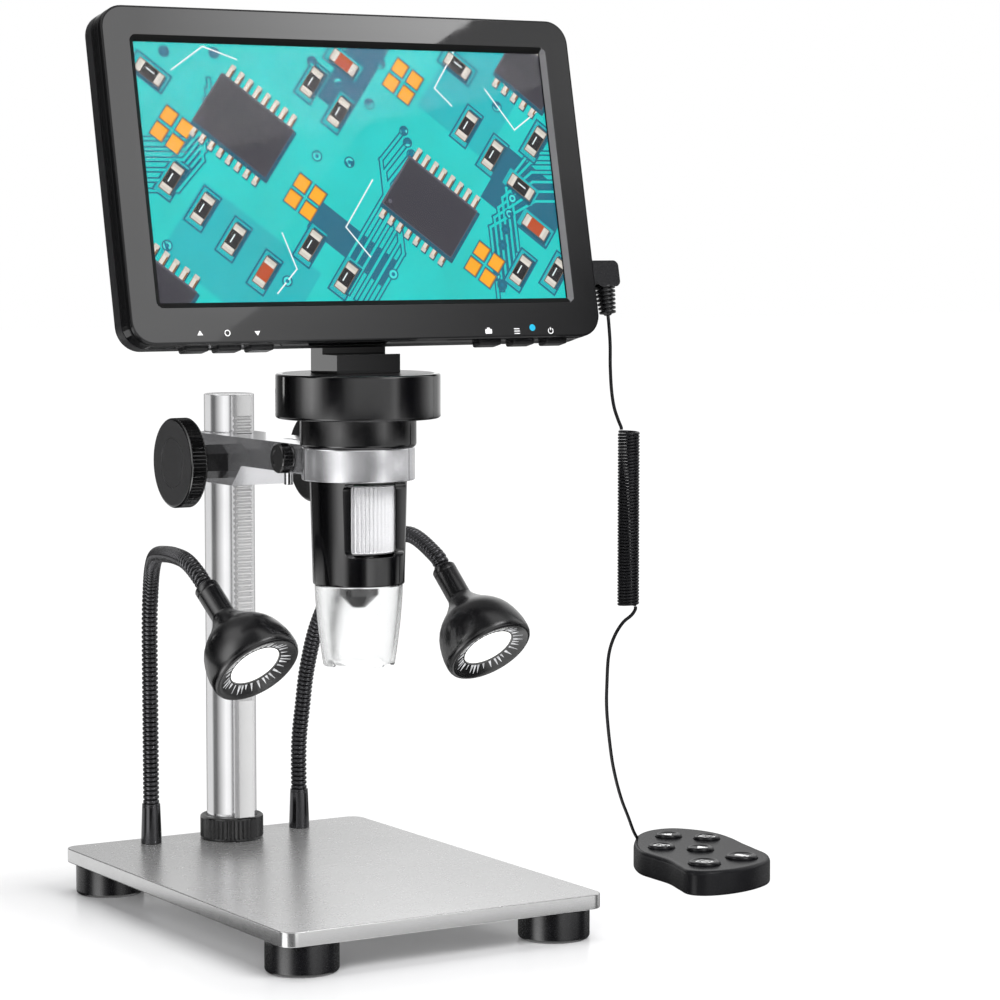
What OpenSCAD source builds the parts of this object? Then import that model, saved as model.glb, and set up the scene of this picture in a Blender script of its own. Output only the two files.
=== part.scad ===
// Desktop digital microscope with a tilting screen, two gooseneck lamps and a corded remote.
// Millimetres. +X is the viewer's right, +Y is away from the viewer, +Z is up.
// The origin is on the stage plate's top face, under the optical axis.

/* [Stage] */
// Width of the stage plate, side to side
plate_w = 120; // [110:1:150]
// Depth of the stage plate, front to back
plate_d = 170; // [150:1:200]
// Thickness of the stage plate
plate_t = 5; // [4:0.5:8]
// Corner radius of the stage plate
plate_r = 5; // [2:0.5:10]
// Diameter of the rubber feet
foot_d = 24; // [18:1:28]
// Height of the rubber feet
foot_h = 10.5; // [8:0.5:16]
// Distance of a foot's axis from the plate's edges
foot_inset = 12.5; // [12:0.5:20]

/* [Column] */
// Distance from the optical axis to the column's axis
reach = 95.5; // [86:0.5:110]
// Distance from the column's axis to the plate's back edge
column_inset = 14.5; // [12:0.5:26]
// Diameter of the column
column_d = 18; // [16:0.5:22]
// Height of the column above the stage
column_h = 161; // [156:1:200]
// Width of the rack bar
rack_w = 6; // [5:0.5:7]
// How far the rack's tooth tips stand out of the column
rack_proud = 3.2; // [2.8:0.1:4]
// Pitch of the rack teeth
tooth_pitch = 2.1; // [1.9:0.05:2.4]
// Length of the plain end of the rack above its teeth
rack_plain_top = 8; // [4:0.5:12]
// Height at which the rack teeth start
rack_teeth_from = 50; // [30:1:60]
// Diameter of the knurled collar at the column's foot
collar_d = 22.8; // [20:0.2:28]
// Height of the knurled collar
collar_h = 8.6; // [5:0.2:12]

/* [Carriage] */
// Height of the pinion's axis above the stage at rest
work_h = 138; // [136:1:142]
// Wall of the carriage around the column
arm_wall = 2; // [1.6:0.1:3]
// Thickness of the arm between the column block and the ring
arm_t = 10; // [8:0.5:11]
// Height of the column block
block_h = 17.4; // [16:0.2:24]
// Number of teeth on the pinion
pinion_teeth = 12; // [12:1:14]
// Diameter of the pinion shaft
shaft_d = 4; // [3:0.25:4.5]
// Diameter of the focusing knobs
knob_d = 31.6; // [24:0.2:36]
// Thickness of the focusing knobs
knob_t = 6.4; // [4:0.2:9]
// Distance between the knobs' inner faces
knob_gap = 47.8; // [44:0.2:60]
// Size of the hexagonal shaft bushes across their corners
bush_d = 12; // [11:0.2:14]
// Length of a shaft bush outside the carriage
bush_l = 8; // [5:0.2:9]
// Wall of the ring that holds the microscope head
ring_wall = 2.6; // [2:0.1:4]
// Height of that ring
ring_h = 11; // [9:0.5:14]
// Width of the saw cut that lets the ring close
slot_w = 2; // [1.5:0.1:2.5]
// Distance from the optical axis to the end of the saw cut
slot_l = 50; // [46:1:54]
// Diameter of the pin at the end of the saw cut
slot_pin_d = 3.2; // [2.4:0.1:4]
// Diameter of the clamp screw's knurled head
clamp_d = 10.2; // [8:0.2:13]
// Length of the clamp screw's knurled head
clamp_l = 4.6; // [3:0.2:8]

/* [Head] */
// Diameter of the barrel inside the ring
barrel_d = 32.6; // [32:0.1:33.6]
// Diameter of the barrel at its lower end
barrel_end_d = 30.8; // [30.4:0.1:31.6]
// Length of the barrel below the head collar
barrel_l = 46; // [45:0.5:52]
// Diameter of the head collar that rests on the ring
seat_d = 39; // [38:0.5:44]
// Height of the head collar
seat_h = 9.6; // [8.4:0.2:14]
// Diameter of the round head housing
disc_d = 55.3; // [50:0.5:62]
// Height of the round head housing
disc_h = 15; // [11:0.5:20]
// Wall of the round head housing
disc_wall = 2.4; // [2:0.1:3]
// Diameter of the focus wheel
wheel_d = 25.2; // [24.6:0.1:25.8]
// Height of the focus wheel
wheel_h = 23.4; // [20:0.2:24]
// Diameter of the lens cell's nose
nose_d = 13.3; // [12:0.1:14]
// Length of the clear distance cap
cap_l = 27.3; // [20:0.5:36]
// Diameter of the clear cap at its top
cap_d = 29.6; // [29:0.1:30.2]
// Diameter of the clear cap at its open end
cap_end_d = 24; // [22:0.5:27]
// Wall of the clear cap
cap_t = 1.3; // [1:0.1:1.6]
// Width of the tilt neck
neck_w = 24; // [18:0.5:28]
// Depth of the tilt neck's foot
neck_d = 18.5; // [16:0.5:22]
// Height of the tilt neck's foot
neck_h = 6.4; // [4:0.2:6.8]
// Height of the tilt hinge above the head housing
hinge_rise = 16.85; // [16.6:0.05:20]
// Distance of the tilt hinge behind the optical axis
hinge_back = 7.6; // [7:0.1:9]
// Diameter of the tilt hinge's pin
hinge_pin_d = 4; // [3:0.5:5]

/* [Screen] */
// Width of the picture area
view_w = 154.1; // [120:0.1:180]
// Height of the picture area
view_h = 85.9; // [68:0.1:110]
// Border between the picture and the housing's top and sides
border = 11.45; // [11:0.05:16]
// Border under the picture, where the buttons are
chin = 13.65; // [12.6:0.05:20]
// Depth of the screen housing
case_t = 14; // [13.4:0.1:16]
// Corner radius of the screen housing
case_r = 8; // [5:0.5:12]
// Wall of the screen housing
case_wall = 2; // [1.6:0.1:2.4]
// How far the screen leans back
tilt = 12.4; // [10:0.2:14]
// Width of a button under the screen
key_w = 8.8; // [6:0.2:9.6]
// Distance between neighbouring buttons of the left group
key_pitch_left = 11.8; // [11.6:0.1:13]
// Distance between neighbouring buttons of the right group
key_pitch_right = 13.2; // [11.6:0.1:14]
// How far the buttons stand out
key_proud = 1.5; // [1:0.1:2.4]

/* [Lamps] */
// Distance of each gooseneck from the middle of the plate
lamp_x = 30; // [26:0.5:36]
// Diameter of the gooseneck hose
hose_d = 5.8; // [5:0.1:6.4]
// Height of a gooseneck's ferrule
ferrule_h = 14.4; // [10:0.2:20]
// Largest diameter of the lamp head
lamp_d = 31.2; // [26:0.2:36]
// Distance from the lamp head's socket end to its light disc
lamp_l = 34.5; // [32:0.5:38]
// Diameter of the light disc
led_d = 17.8; // [14:0.2:20]
// Diameter of the lamp head's socket
socket_d = 8.4; // [7.8:0.1:9.4]
// Length of the lamp head's socket
socket_l = 13.5; // [11:0.5:15]

/* [Remote] */
// Height of the remote control
remote_h = 9; // [8:0.2:12]
// Wall of the remote control
remote_wall = 1.6; // [1.2:0.1:2]
// Diameter of the remote's small buttons
pad_d = 9.7; // [8:0.1:10.2]
// Diameter of the remote's large buttons
big_pad_d = 11.5; // [9:0.1:12]
// How far the remote's buttons stand out
pad_proud = 1.3; // [0.8:0.1:2]

/* [Cord] */
// Diameter of the cord
cord_d = 1.2; // [1:0.1:1.6]
// Outer diameter of the coiled stretch
coil_d = 7.8; // [6:0.1:10]
// Length of the coiled stretch
coil_l = 62; // [50:1:70]

/* [Hidden] */

// Fits and small clearances
run = 0.05;         // radial clearance of a running fit
gap = 0.3;          // clearance beside parts that move
eps = 0.01;         // overlap that makes a cut clean
$fn = 64;

// Levels
floor_z = -plate_t - foot_h;
arm_top = work_h + 9.2;
ring_z = arm_top + 0.2 - ring_h;
seat_z = arm_top + 0.2;
disc_z = seat_z + seat_h;
disc_top = disc_z + disc_h;
barrel_z = seat_z - barrel_l;
cap_z = barrel_z - cap_l;
plate_back = reach + column_inset;
plate_y = plate_back - plate_d / 2;

// Rack and pinion
press_angle = 25;                               // degrees
addendum = 0.6;
dedendum = 0.85;
backlash = 0.12;
pitch_r = pinion_teeth * tooth_pitch / (2 * PI);
rack_face = column_d / 2 + rack_proud;          // tooth tips, from the column's axis
pinion_y = reach - rack_face + addendum - pitch_r;
gear_r = pitch_r + addendum;
chamber_r = gear_r + 0.4;
pinion_l = rack_w;
rack_root = rack_face - addendum - dedendum;

// ---------- profiles ----------

module rounded_rect(w, d, r) {
  square([w - 2 * r, d], center = true);
  square([w, d - 2 * r], center = true);
  for (x = [-1, 1], y = [-1, 1])
    translate([x * (w / 2 - r), y * (d / 2 - r)]) circle(r);
}

// a cylinder from x0 to x1 along +X
module along_x(x0, x1, d) {
  translate([x0, 0, 0]) rotate([0, 90, 0]) cylinder(h = x1 - x0, d = d);
}

// a round rod from a to b
module rod(a, b, d) {
  v = b - a;
  translate(a) rotate([0, acos(v.z / norm(v)), atan2(v.y, v.x)]) cylinder(h = norm(v), d = d);
}

// outline with n ridges for a knurled grip
function ridges(d, n, depth) =
  [for (i = [0:2 * n - 1]) let (r = d / 2 - (i % 2) * depth, a = 180 * i / n) [r * cos(a), r * sin(a)]];

module knurled(d, h, n, depth) {
  linear_extrude(h) polygon(ridges(d, n, depth));
}

// a knurled band on a core with bevelled ends
module grip(d, h, n, depth, bevel) {
  core = d / 2 - depth - 0.05;
  translate([0, 0, bevel]) knurled(d, h - 2 * bevel, n, depth);
  rotate_extrude() polygon([[0, 0], [core - bevel / 2, 0], [core, bevel], [core, h - bevel],
    [core - bevel / 2, h], [0, h]]);
}

// involute helpers, in degrees
function inv(a) = tan(a) * 180 / PI - a;
function half_tooth(r) =
  let (rb = pitch_r * cos(press_angle), a = r > rb ? acos(rb / r) : 0,
       at_pitch = 90 / pinion_teeth - backlash / 4 / pitch_r * 180 / PI)
  at_pitch + inv(press_angle) - inv(a);

// smooth curve through points, n steps between two points
function bend_at(a, b, c, d, t) =
  0.5 * (2 * b + (c - a) * t + (2 * a - 5 * b + 4 * c - d) * t * t + (3 * b - a - 3 * c + d) * t * t * t);
function smooth(p, n) =
  let (q = concat([2 * p[0] - p[1]], p, [2 * p[len(p) - 1] - p[len(p) - 2]]))
  concat([for (i = [1:len(p) - 1], k = [0:n - 1]) bend_at(q[i - 1], q[i], q[i + 1], q[i + 2], k / n)],
         [p[len(p) - 1]]);
function smooth_loop(p, n) =
  let (m = len(p))
  [for (i = [0:m - 1], k = [0:n - 1])
    bend_at(p[(i + m - 1) % m], p[i], p[(i + 1) % m], p[(i + 2) % m], k / n)];

// a closed outline moved inwards along its normals
function inset(p, d) =
  let (m = len(p))
  [for (i = [0:m - 1])
    let (t = p[(i + 1) % m] - p[(i + m - 1) % m]) p[i] + d * [t.y, -t.x] / norm(t)];

// tube of sides flats swept along points, with its frame carried from ring to ring
function unit(v) = v / norm(v);
function dir_at(p, i) = unit(p[min(i + 1, len(p) - 1)] - p[max(i - 1, 0)]);
function across(t, v) = unit(v - t * (t * v));
function frames(p, v, i = 0) =
  i >= len(p) ? [] : let (u = across(dir_at(p, i), v)) concat([u], frames(p, u, i + 1));
module tube(p, d, sides, start) {
  f = frames(p, start);
  n = len(p);
  points = [for (i = [0:n - 1], k = [0:sides - 1])
    let (u = f[i], w = cross(dir_at(p, i), u), a = 360 * k / sides)
    p[i] + d / 2 * (u * cos(a) + w * sin(a))];
  sides_of = [for (i = [0:n - 2], k = [0:sides - 1])
    let (a = i * sides + k, b = i * sides + (k + 1) % sides) [a, a + sides, b + sides, b]];
  polyhedron(points, concat([[for (k = [0:sides - 1]) k]], sides_of,
                            [[for (k = [sides - 1:-1:0]) (n - 1) * sides + k]]), convexity = 6);
}

// ---------- stage and column ----------

foot_places = [for (x = [-1, 1], y = [-1, 1])
  [x * (plate_w / 2 - foot_inset), plate_y + y * (plate_d / 2 - foot_inset)]];
foot_screw_d = 3;
foot_screw_in = 3.5;                           // depth of the screw in the plate
foot_sink = 5;                                  // depth of the foot's counterbore
column_bolt_d = 6;
column_bolt_in = 14;
ferrule_d = hose_d + 1.7;
stud_d = hose_d - 0.8;                          // threaded stud under a ferrule
lamp_y = plate_back - 10;

module base_plate() color("gainsboro") difference() {
  translate([0, plate_y, -plate_t]) linear_extrude(plate_t) rounded_rect(plate_w, plate_d, plate_r);
  for (p = foot_places) translate([p.x, p.y, -plate_t - eps]) cylinder(h = foot_screw_in, d = foot_screw_d);
  translate([0, reach, -plate_t - eps]) cylinder(h = plate_t + 2 * eps, d = column_bolt_d + 0.4);
  for (x = [-1, 1]) translate([x * lamp_x, lamp_y, -plate_t - eps])
    cylinder(h = plate_t + 2 * eps, d = stud_d + 0.2);
}

module feet() color([0.08, 0.08, 0.09]) for (p = foot_places) translate([p.x, p.y, floor_z])
  rotate_extrude() polygon([
    [foot_screw_d / 2 + 0.2, foot_sink], [foot_screw_d / 2 + 0.2, foot_h], [foot_d / 2, foot_h],
    [foot_d / 2, 0.8], [foot_d / 2 - 0.8, 0], [4.2, 0], [4.2, foot_sink]]);

// four pan-head screws in the feet and the bolt that holds the column
module base_screws() color("silver") {
  for (p = foot_places) translate([p.x, p.y, floor_z + foot_sink]) union() {
    translate([0, 0, -2.2]) cylinder(h = 2.2, d = 6.4);
    cylinder(h = foot_h - foot_sink + foot_screw_in - 0.5, d = foot_screw_d - 0.1);
  }
  translate([0, reach, -plate_t]) union() {
    translate([0, 0, -4]) cylinder(h = 4, d = 11, $fn = 6);
    cylinder(h = plate_t + column_bolt_in - 1, d = column_bolt_d - 0.1);
  }
}

cheek = 0.9;                                    // wall of the column's rail beside the rack bar
rack_seat = 7.5;                                // bottom of the rack bar's groove, from the column's axis
rail_z = collar_h + 0.2;                        // the rail and the rack bar start above the collar

module column() color("silver") translate([0, reach, 0]) difference() {
  union() {
    cylinder(h = column_h, d = column_d);
    translate([-rack_w / 2 - cheek, -rack_root + 0.4, rail_z])
      cube([rack_w + 2 * cheek, rack_root - 1, column_h - rail_z]);
  }
  translate([-rack_w / 2, -rack_face, rail_z]) cube([rack_w, rack_face - rack_seat, column_h]);
  translate([0, 0, -eps]) cylinder(h = column_bolt_in, d = column_bolt_d);
}

// the rack's side outline: a bar with a row of straight-flanked gaps
rack_from = ceil((rack_teeth_from - work_h) / tooth_pitch);
rack_to = floor((column_h - rack_plain_top - work_h) / tooth_pitch);
flank = (addendum + dedendum) * tan(press_angle);
gap_top = tooth_pitch / 2 + 2 * addendum * tan(press_angle) + backlash / 2;

module rack() color("silver") translate([-rack_w / 2, reach, 0]) rotate([90, 0, 90]) linear_extrude(rack_w)
  polygon(concat(
    [[-rack_seat, rail_z], [-rack_seat, column_h], [-rack_face, column_h]],
    [for (k = [rack_to:-1:rack_from]) let (z = work_h + k * tooth_pitch) each [
      [-rack_face, z + gap_top / 2], [-rack_root, z + gap_top / 2 - flank],
      [-rack_root, z - gap_top / 2 + flank], [-rack_face, z - gap_top / 2]]],
    [[-rack_face, rail_z]]));

module column_collar() color([0.1, 0.1, 0.1]) translate([0, reach, 0]) difference() {
  grip(collar_d, collar_h, 44, 0.35, 0.8);
  translate([0, 0, -eps]) cylinder(h = collar_h + 2 * eps, d = column_d + 0.1);
}

module ferrule(x) color([0.08, 0.08, 0.09]) translate([x, lamp_y, 0]) difference() {
  union() {
    rotate_extrude() polygon([[0, 0], [ferrule_d / 2, 0], [ferrule_d / 2 - 0.6, ferrule_h - 0.4],
      [ferrule_d / 2 - 0.9, ferrule_h], [0, ferrule_h]]);
    translate([0, 0, -plate_t - 3]) cylinder(h = plate_t + 3 + eps, d = stud_d);
  }
  translate([0, 0, 5]) cylinder(h = ferrule_h, d = hose_d + 0.1);
  translate([0, 0, -plate_t - 3 - eps]) cylinder(h = plate_t + 9, d = 2.4);
}
module ferrule_left() ferrule(-lamp_x);
module ferrule_right() ferrule(lamp_x);

module ferrule_nuts() color("silver") for (x = [-1, 1]) translate([x * lamp_x, lamp_y, -plate_t - 2.6])
  difference() {
    cylinder(h = 2.6, d = stud_d + 5, $fn = 6);
    translate([0, 0, -eps]) cylinder(h = 2.6 + 2 * eps, d = stud_d + 0.02);
  }

// ---------- carriage ----------

arm_w = column_d + 2 * arm_wall;
ring_bore = barrel_d + 2 * run;
ring_d = ring_bore + 2 * ring_wall;
block_z = arm_top - block_h;
block_front = pinion_y - chamber_r - 2.9;
clamp_y = 28.5;
clamp_z = arm_top - arm_t / 2;
clamp_shaft_d = 4;
bush_bore = shaft_d + 2 * run;
knob_x = knob_gap / 2;

module carriage() color([0.75, 0.75, 0.77]) difference() {
  union() {
    translate([-arm_w / 2, 0, 0]) rotate([90, 0, 90]) linear_extrude(arm_w) polygon([
      [0, arm_top], [reach, arm_top], [reach, block_z], [block_front, block_z],
      [block_front - (block_h - arm_t), arm_top - arm_t], [0, arm_top - arm_t]]);
    translate([0, reach, block_z]) cylinder(h = block_h, d = arm_w);
    translate([0, 0, ring_z]) cylinder(h = ring_h, d = ring_d);
  }
  translate([0, 0, ring_z - 5]) cylinder(h = ring_h + 10, d = ring_bore);
  translate([0, reach, block_z - eps]) cylinder(h = block_h + 2 * eps, d = column_d + 2 * run);
  translate([-rack_w / 2 - cheek - run, reach - rack_root - gap, block_z - eps])
    cube([rack_w + 2 * (cheek + run), rack_root, block_h + 2 * eps]);
  translate([-rack_w / 2 - gap, reach - rack_face - gap, block_z - eps])
    cube([rack_w + 2 * gap, rack_face, block_h + 2 * eps]);
  translate([0, pinion_y, work_h]) along_x(-arm_w / 2 - eps, arm_w / 2 + eps, 2 * chamber_r);
  translate([-slot_w / 2, 0, ring_z - eps]) cube([slot_w, slot_l, arm_top - ring_z + 1]);
  translate([0, slot_l, arm_top - arm_t - eps]) cylinder(h = arm_t + 1, d = slot_pin_d + 0.1);
  translate([0, clamp_y, clamp_z]) along_x(-arm_w / 2 - eps, arm_w / 2 - 3, clamp_shaft_d + 2 * run);
}

module slot_pin() color("silver") translate([0, slot_l, arm_top - arm_t - 6])
  cylinder(h = arm_t + 5.8, d = slot_pin_d);

// hexagonal bushes whose spigots close the pinion chamber and carry the shaft
module shaft_bushes() color([0.09, 0.09, 0.1]) for (s = [-1, 1]) translate([0, pinion_y, work_h])
  mirror([s < 0 ? 1 : 0, 0, 0]) difference() {
    union() {
      translate([arm_w / 2, 0, 0]) rotate([0, 90, 0]) cylinder(h = bush_l, d = bush_d, $fn = 6);
      along_x(pinion_l / 2 + 0.6, arm_w / 2 + eps, 2 * chamber_r - 0.04);
    }
    along_x(0, arm_w / 2 + bush_l + 1, bush_bore);
    translate([0, reach - pinion_y, -block_h]) cylinder(h = 2 * block_h, d = column_d + 2 * gap);
    translate([0, reach - pinion_y - rack_root - 2 * gap, -block_h])
      cube([rack_w / 2 + cheek + gap, rack_root, 2 * block_h]);
  }

module pinion() color("silver") translate([-pinion_l / 2, pinion_y, work_h]) rotate([90, 0, 90])
  difference() {
    linear_extrude(pinion_l) polygon([for (k = [0:pinion_teeth - 1]) let (c = 360 * k / pinion_teeth)
      each concat(
        [for (s = [0:3]) let (r = pitch_r - dedendum + 0.15 + s * (addendum + dedendum - 0.15) / 3,
                              a = c - half_tooth(r)) r * [cos(a), sin(a)]],
        [for (s = [3:-1:0]) let (r = pitch_r - dedendum + 0.15 + s * (addendum + dedendum - 0.15) / 3,
                                 a = c + half_tooth(r)) r * [cos(a), sin(a)]])]);
    translate([0, 0, -eps]) cylinder(h = pinion_l + 2 * eps, d = shaft_d + 0.02);
  }

shaft_in_knob = 4;
module pinion_shaft() color("silver") translate([0, pinion_y, work_h])
  along_x(-knob_x - shaft_in_knob, knob_x + shaft_in_knob, shaft_d);

hub_d = 7.6;
dish_d = 17.4;
module knob(s) color([0.1, 0.1, 0.1]) translate([0, pinion_y, work_h]) mirror([s < 0 ? 1 : 0, 0, 0])
  difference() {
    union() {
      translate([knob_x, 0, 0]) rotate([0, 90, 0]) grip(knob_d, knob_t, 70, 0.45, 0.5);
      along_x(arm_w / 2 + bush_l + gap, knob_x + eps, hub_d);
    }
    along_x(knob_x - 20, knob_x + shaft_in_knob, shaft_d + 0.02);
    translate([knob_x + knob_t - 0.25, 0, 0]) rotate([0, 90, 0]) difference() {
      cylinder(h = 1, d = dish_d);
      translate([0, 0, -eps]) cylinder(h = 2, d = dish_d - 1);
    }
  }
module knob_left() knob(-1);
module knob_right() knob(1);

module clamp_screw() color([0.08, 0.08, 0.09]) translate([0, clamp_y, clamp_z]) union() {
  translate([-arm_w / 2 - gap - clamp_l, 0, 0]) rotate([0, 90, 0]) grip(clamp_d, clamp_l, 28, 0.35, 0.4);
  along_x(-arm_w / 2 - gap - eps, arm_w / 2 - 4, clamp_shaft_d);
}

// ---------- head ----------

spigot_d = barrel_d - 2.6;                      // barrel's upper end inside the head collar
spigot_h = seat_h - 1.6;
bore_d = 20;
chamber_d = wheel_d + 1;
top_bore_d = 24;
window_z = ring_z - 0.6 - 24.6;
window_h = 24.6;
wheel_z = window_z + (window_h - wheel_h) / 2;
board_d = top_bore_d - 1;
board_seat = wheel_z + wheel_h + 2;             // ledge under the sensor board
cap_neck = 3;
cap_neck_d = barrel_end_d - 3.8;
led_z = barrel_z + cap_neck + 0.8;
led_t = 1.2;
nose_hole = nose_d + 0.6;
cell_d = 18.2;
window_in = 39;                                 // half angles of the window, degrees
window_out = 49;

module barrel() color([0.09, 0.09, 0.1]) difference() {
  rotate_extrude() polygon([
    [0, barrel_z], [barrel_end_d / 2 - 1, barrel_z], [barrel_end_d / 2 - 0.3, barrel_z + 0.3],
    [barrel_end_d / 2, barrel_z + 1], [barrel_d / 2, ring_z - 0.5], [barrel_d / 2, seat_z - 0.05],
    [spigot_d / 2, seat_z - 0.05], [spigot_d / 2, seat_z + spigot_h], [0, seat_z + spigot_h]]);
  rotate_extrude() polygon([
    [0, barrel_z - 1], [cap_neck_d / 2 + 0.05, barrel_z - 1], [cap_neck_d / 2 + 0.05, led_z + led_t],
    [bore_d / 2, led_z + led_t], [bore_d / 2, wheel_z - 0.2], [chamber_d / 2, wheel_z - 0.2],
    [chamber_d / 2, wheel_z + wheel_h + 0.2], [bore_d / 2, wheel_z + wheel_h + 0.2],
    [bore_d / 2, board_seat], [top_bore_d / 2, board_seat],
    [top_bore_d / 2, seat_z + spigot_h + 1], [0, seat_z + spigot_h + 1]]);
  translate([0, 0, window_z]) linear_extrude(window_h) polygon([
    [0, 0], [-chamber_d / 2 * sin(window_in), -chamber_d / 2 * cos(window_in) + 1],
    [-(barrel_d / 2 + 0.4) * sin(window_out), -(barrel_d / 2 + 0.4) * cos(window_out)],
    [0, -barrel_d], [(barrel_d / 2 + 0.4) * sin(window_out), -(barrel_d / 2 + 0.4) * cos(window_out)],
    [chamber_d / 2 * sin(window_in), -chamber_d / 2 * cos(window_in) + 1]]);
}

module focus_wheel() color([0.93, 0.93, 0.94]) translate([0, 0, wheel_z]) difference() {
  knurled(wheel_d, wheel_h, 48, 0.5);
  translate([0, 0, -eps]) cylinder(h = wheel_h + 2 * eps, d = cell_d + 2 * run);
}

// the cell's thread runs in the wheel, its nose shows inside the clear cap
nose_z = barrel_z - 8;
nose_cone = 4.9;                                // height of the nose's conical tip
tip_d = 4.8;
pupil_d = 3;
lens_t = 1.6;
cell_bore_d = 12;
focus_travel = 3;                               // each way, by the wheel's thread
sensor_h = 1.2;
shoulder_z = led_z + led_t + focus_travel + 1;
cell_top = board_seat - sensor_h - focus_travel - 0.8;
module lens_cell() color([0.05, 0.05, 0.06]) difference() {
  rotate_extrude() polygon([
    [0, nose_z], [tip_d / 2 - 0.5, nose_z], [tip_d / 2, nose_z + 0.5], [nose_d / 2, nose_z + nose_cone],
    [nose_d / 2, shoulder_z], [cell_d / 2, shoulder_z], [cell_d / 2, cell_top], [0, cell_top]]);
  translate([0, 0, nose_z - eps]) cylinder(h = cell_top - nose_z + 1, d = pupil_d);
  translate([0, 0, shoulder_z + 2]) cylinder(h = cell_top - shoulder_z, d = cell_bore_d);
}

module objective_lens() color([0.6, 0.75, 0.9, 0.6]) translate([0, 0, nose_z + 0.4])
  cylinder(h = lens_t, d = pupil_d - 0.02);

module sensor_board() color([0.1, 0.35, 0.2]) translate([0, 0, board_seat]) union() {
  cylinder(h = 1.6, d = board_d);
  translate([-4.2, -4.2, -sensor_h]) cube([8.4, 8.4, sensor_h + eps]);
  translate([-4, 4, 1.6 - eps]) cube([8, 4, 3]);
}

module led_ring() color([0.9, 0.9, 0.8]) difference() {
  union() {
    translate([0, 0, led_z]) cylinder(h = led_t, d = cap_neck_d);
    for (k = [0:7]) rotate([0, 0, 45 * k + 22.5]) translate([10, 0, led_z - 0.7])
      cylinder(h = 0.8, d = 2.4);
  }
  translate([0, 0, led_z - 1]) cylinder(h = 3, d = nose_hole);
}

// clear bell that sets the working distance
function cap_r(t) = cap_d / 2 - (cap_d - cap_end_d) / 2 * pow(t, 1.5);
cap_steps = 8;
module clear_cap() color([0.85, 0.9, 0.95, 0.35]) difference() {
  rotate_extrude() polygon(concat(
    [[cap_neck_d / 2, barrel_z + cap_neck], [cap_neck_d / 2, barrel_z - 0.05],
     [cap_d / 2 - 0.4, barrel_z - 0.05]],
    [for (k = [0:cap_steps]) let (t = k / cap_steps) [cap_r(t), barrel_z - 0.45 - t * (cap_l - 0.45)]],
    [for (k = [cap_steps:-1:0]) let (t = k / cap_steps)
      [cap_r(t) - cap_t, barrel_z - 0.45 - t * (cap_l - 0.45)]],
    [[cap_neck_d / 2 - 1.2, barrel_z - 0.05], [cap_neck_d / 2 - 1.2, barrel_z + cap_neck]]));
  for (k = [0:3]) rotate([0, 0, 90 * k + 30]) translate([cap_end_d / 2 - 4, -3.5, cap_z - 1])
    cube([8, 7, 2.6]);
}

module head_housing() color([0.09, 0.09, 0.1]) difference() {
  rotate_extrude() polygon([
    [spigot_d / 2 + 0.02, seat_z], [seat_d / 2 - 0.9, seat_z], [seat_d / 2, seat_z + 0.9],
    [seat_d / 2, disc_z], [disc_d / 2, disc_z], [disc_d / 2, disc_top],
    [disc_d / 2 - disc_wall, disc_top], [disc_d / 2 - disc_wall, disc_z + disc_wall],
    [spigot_d / 2 - 2, disc_z + disc_wall], [spigot_d / 2 - 2, seat_z + spigot_h + 0.05],
    [spigot_d / 2 + 0.02, seat_z + spigot_h + 0.05]]);
}

lid_t = 2.6;
module head_lid() color([0.1, 0.1, 0.11]) translate([0, 0, disc_top - lid_t]) union() {
  cylinder(h = lid_t, d = disc_d - 2 * disc_wall - 0.04);
  for (k = [0:2]) rotate([0, 0, 120 * k + 30]) translate([18, 0, -(disc_h - lid_t - disc_wall)])
    cylinder(h = disc_h - lid_t - disc_wall + eps, d = 5);
}

// foot block and the pillar with the hinge knuckle behind the screen
knuckle_d = 10;
hinge_z = disc_top + hinge_rise;
neck_y = hinge_back + 3.4 - neck_d / 2;
module tilt_neck() color([0.12, 0.12, 0.13]) difference() {
  union() {
    translate([-neck_w / 2, neck_y - neck_d / 2, disc_top]) cube([neck_w, neck_d, neck_h]);
    translate([-neck_w / 2, hinge_back - knuckle_d / 2, disc_top]) cube([neck_w, 8.4, hinge_rise - 2]);
    translate([0, hinge_back, hinge_z]) along_x(-neck_w / 2, neck_w / 2, knuckle_d);
  }
  translate([0, hinge_back, hinge_z]) along_x(-neck_w / 2 - 1, neck_w / 2 + 1, hinge_pin_d + 2 * run);
}

// ---------- screen, in its own frame ----------
// x to the right, y from the front face to the back, z up from the housing's centre

case_w = view_w + 2 * border;
case_h = view_h + border + chin;
view_up = (chin - border) / 2;
hinge_up = 10;                                  // the hinge above the housing's bottom edge
hinge_dep = case_t + 5.3;
module on_screen() translate([0, hinge_back, hinge_z]) rotate([-tilt, 0, 0])
  translate([0, -hinge_dep, case_h / 2 - hinge_up]) children();

module slab(y0, y1, less, r) translate([0, y1, 0]) rotate([90, 0, 0]) linear_extrude(y1 - y0)
  rounded_rect(case_w - 2 * less, case_h - 2 * less, r);

rim = 1.9;                                      // bevelled border around the picture
opening_w = view_w + 2 * rim;
opening_h = view_h + 2 * rim;
glass_y = 1.3;                                  // depth of the glass behind the front face
glass_t = 1;
panel_w = view_w + 10.8;
panel_h = view_h + 14;
panel_t = 2.9;
seam_y = 7.4;                                   // joint between bezel and back cover
key_y = 7.4;
key_d = 5.6;                                    // depth of a button, front to back
key_left = -case_w / 2 + 36.4;                  // middle button of the left group
key_right = case_w / 2 - 28.8;                  // middle button of the right group
key_places = [key_left - key_pitch_left, key_left, key_left + key_pitch_left,
              key_right - key_pitch_right, key_right, key_right + key_pitch_right];
lip = 1.1;                                      // back cover's lip inside the bezel
back_wall = case_wall + 0.1 + lip;
jack_z = -case_h / 2 + 22.8;
jack_y = 8;
jack_l = 11;
jack_pin_d = 2.5;
jack_sleeve_d = 5;

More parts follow.
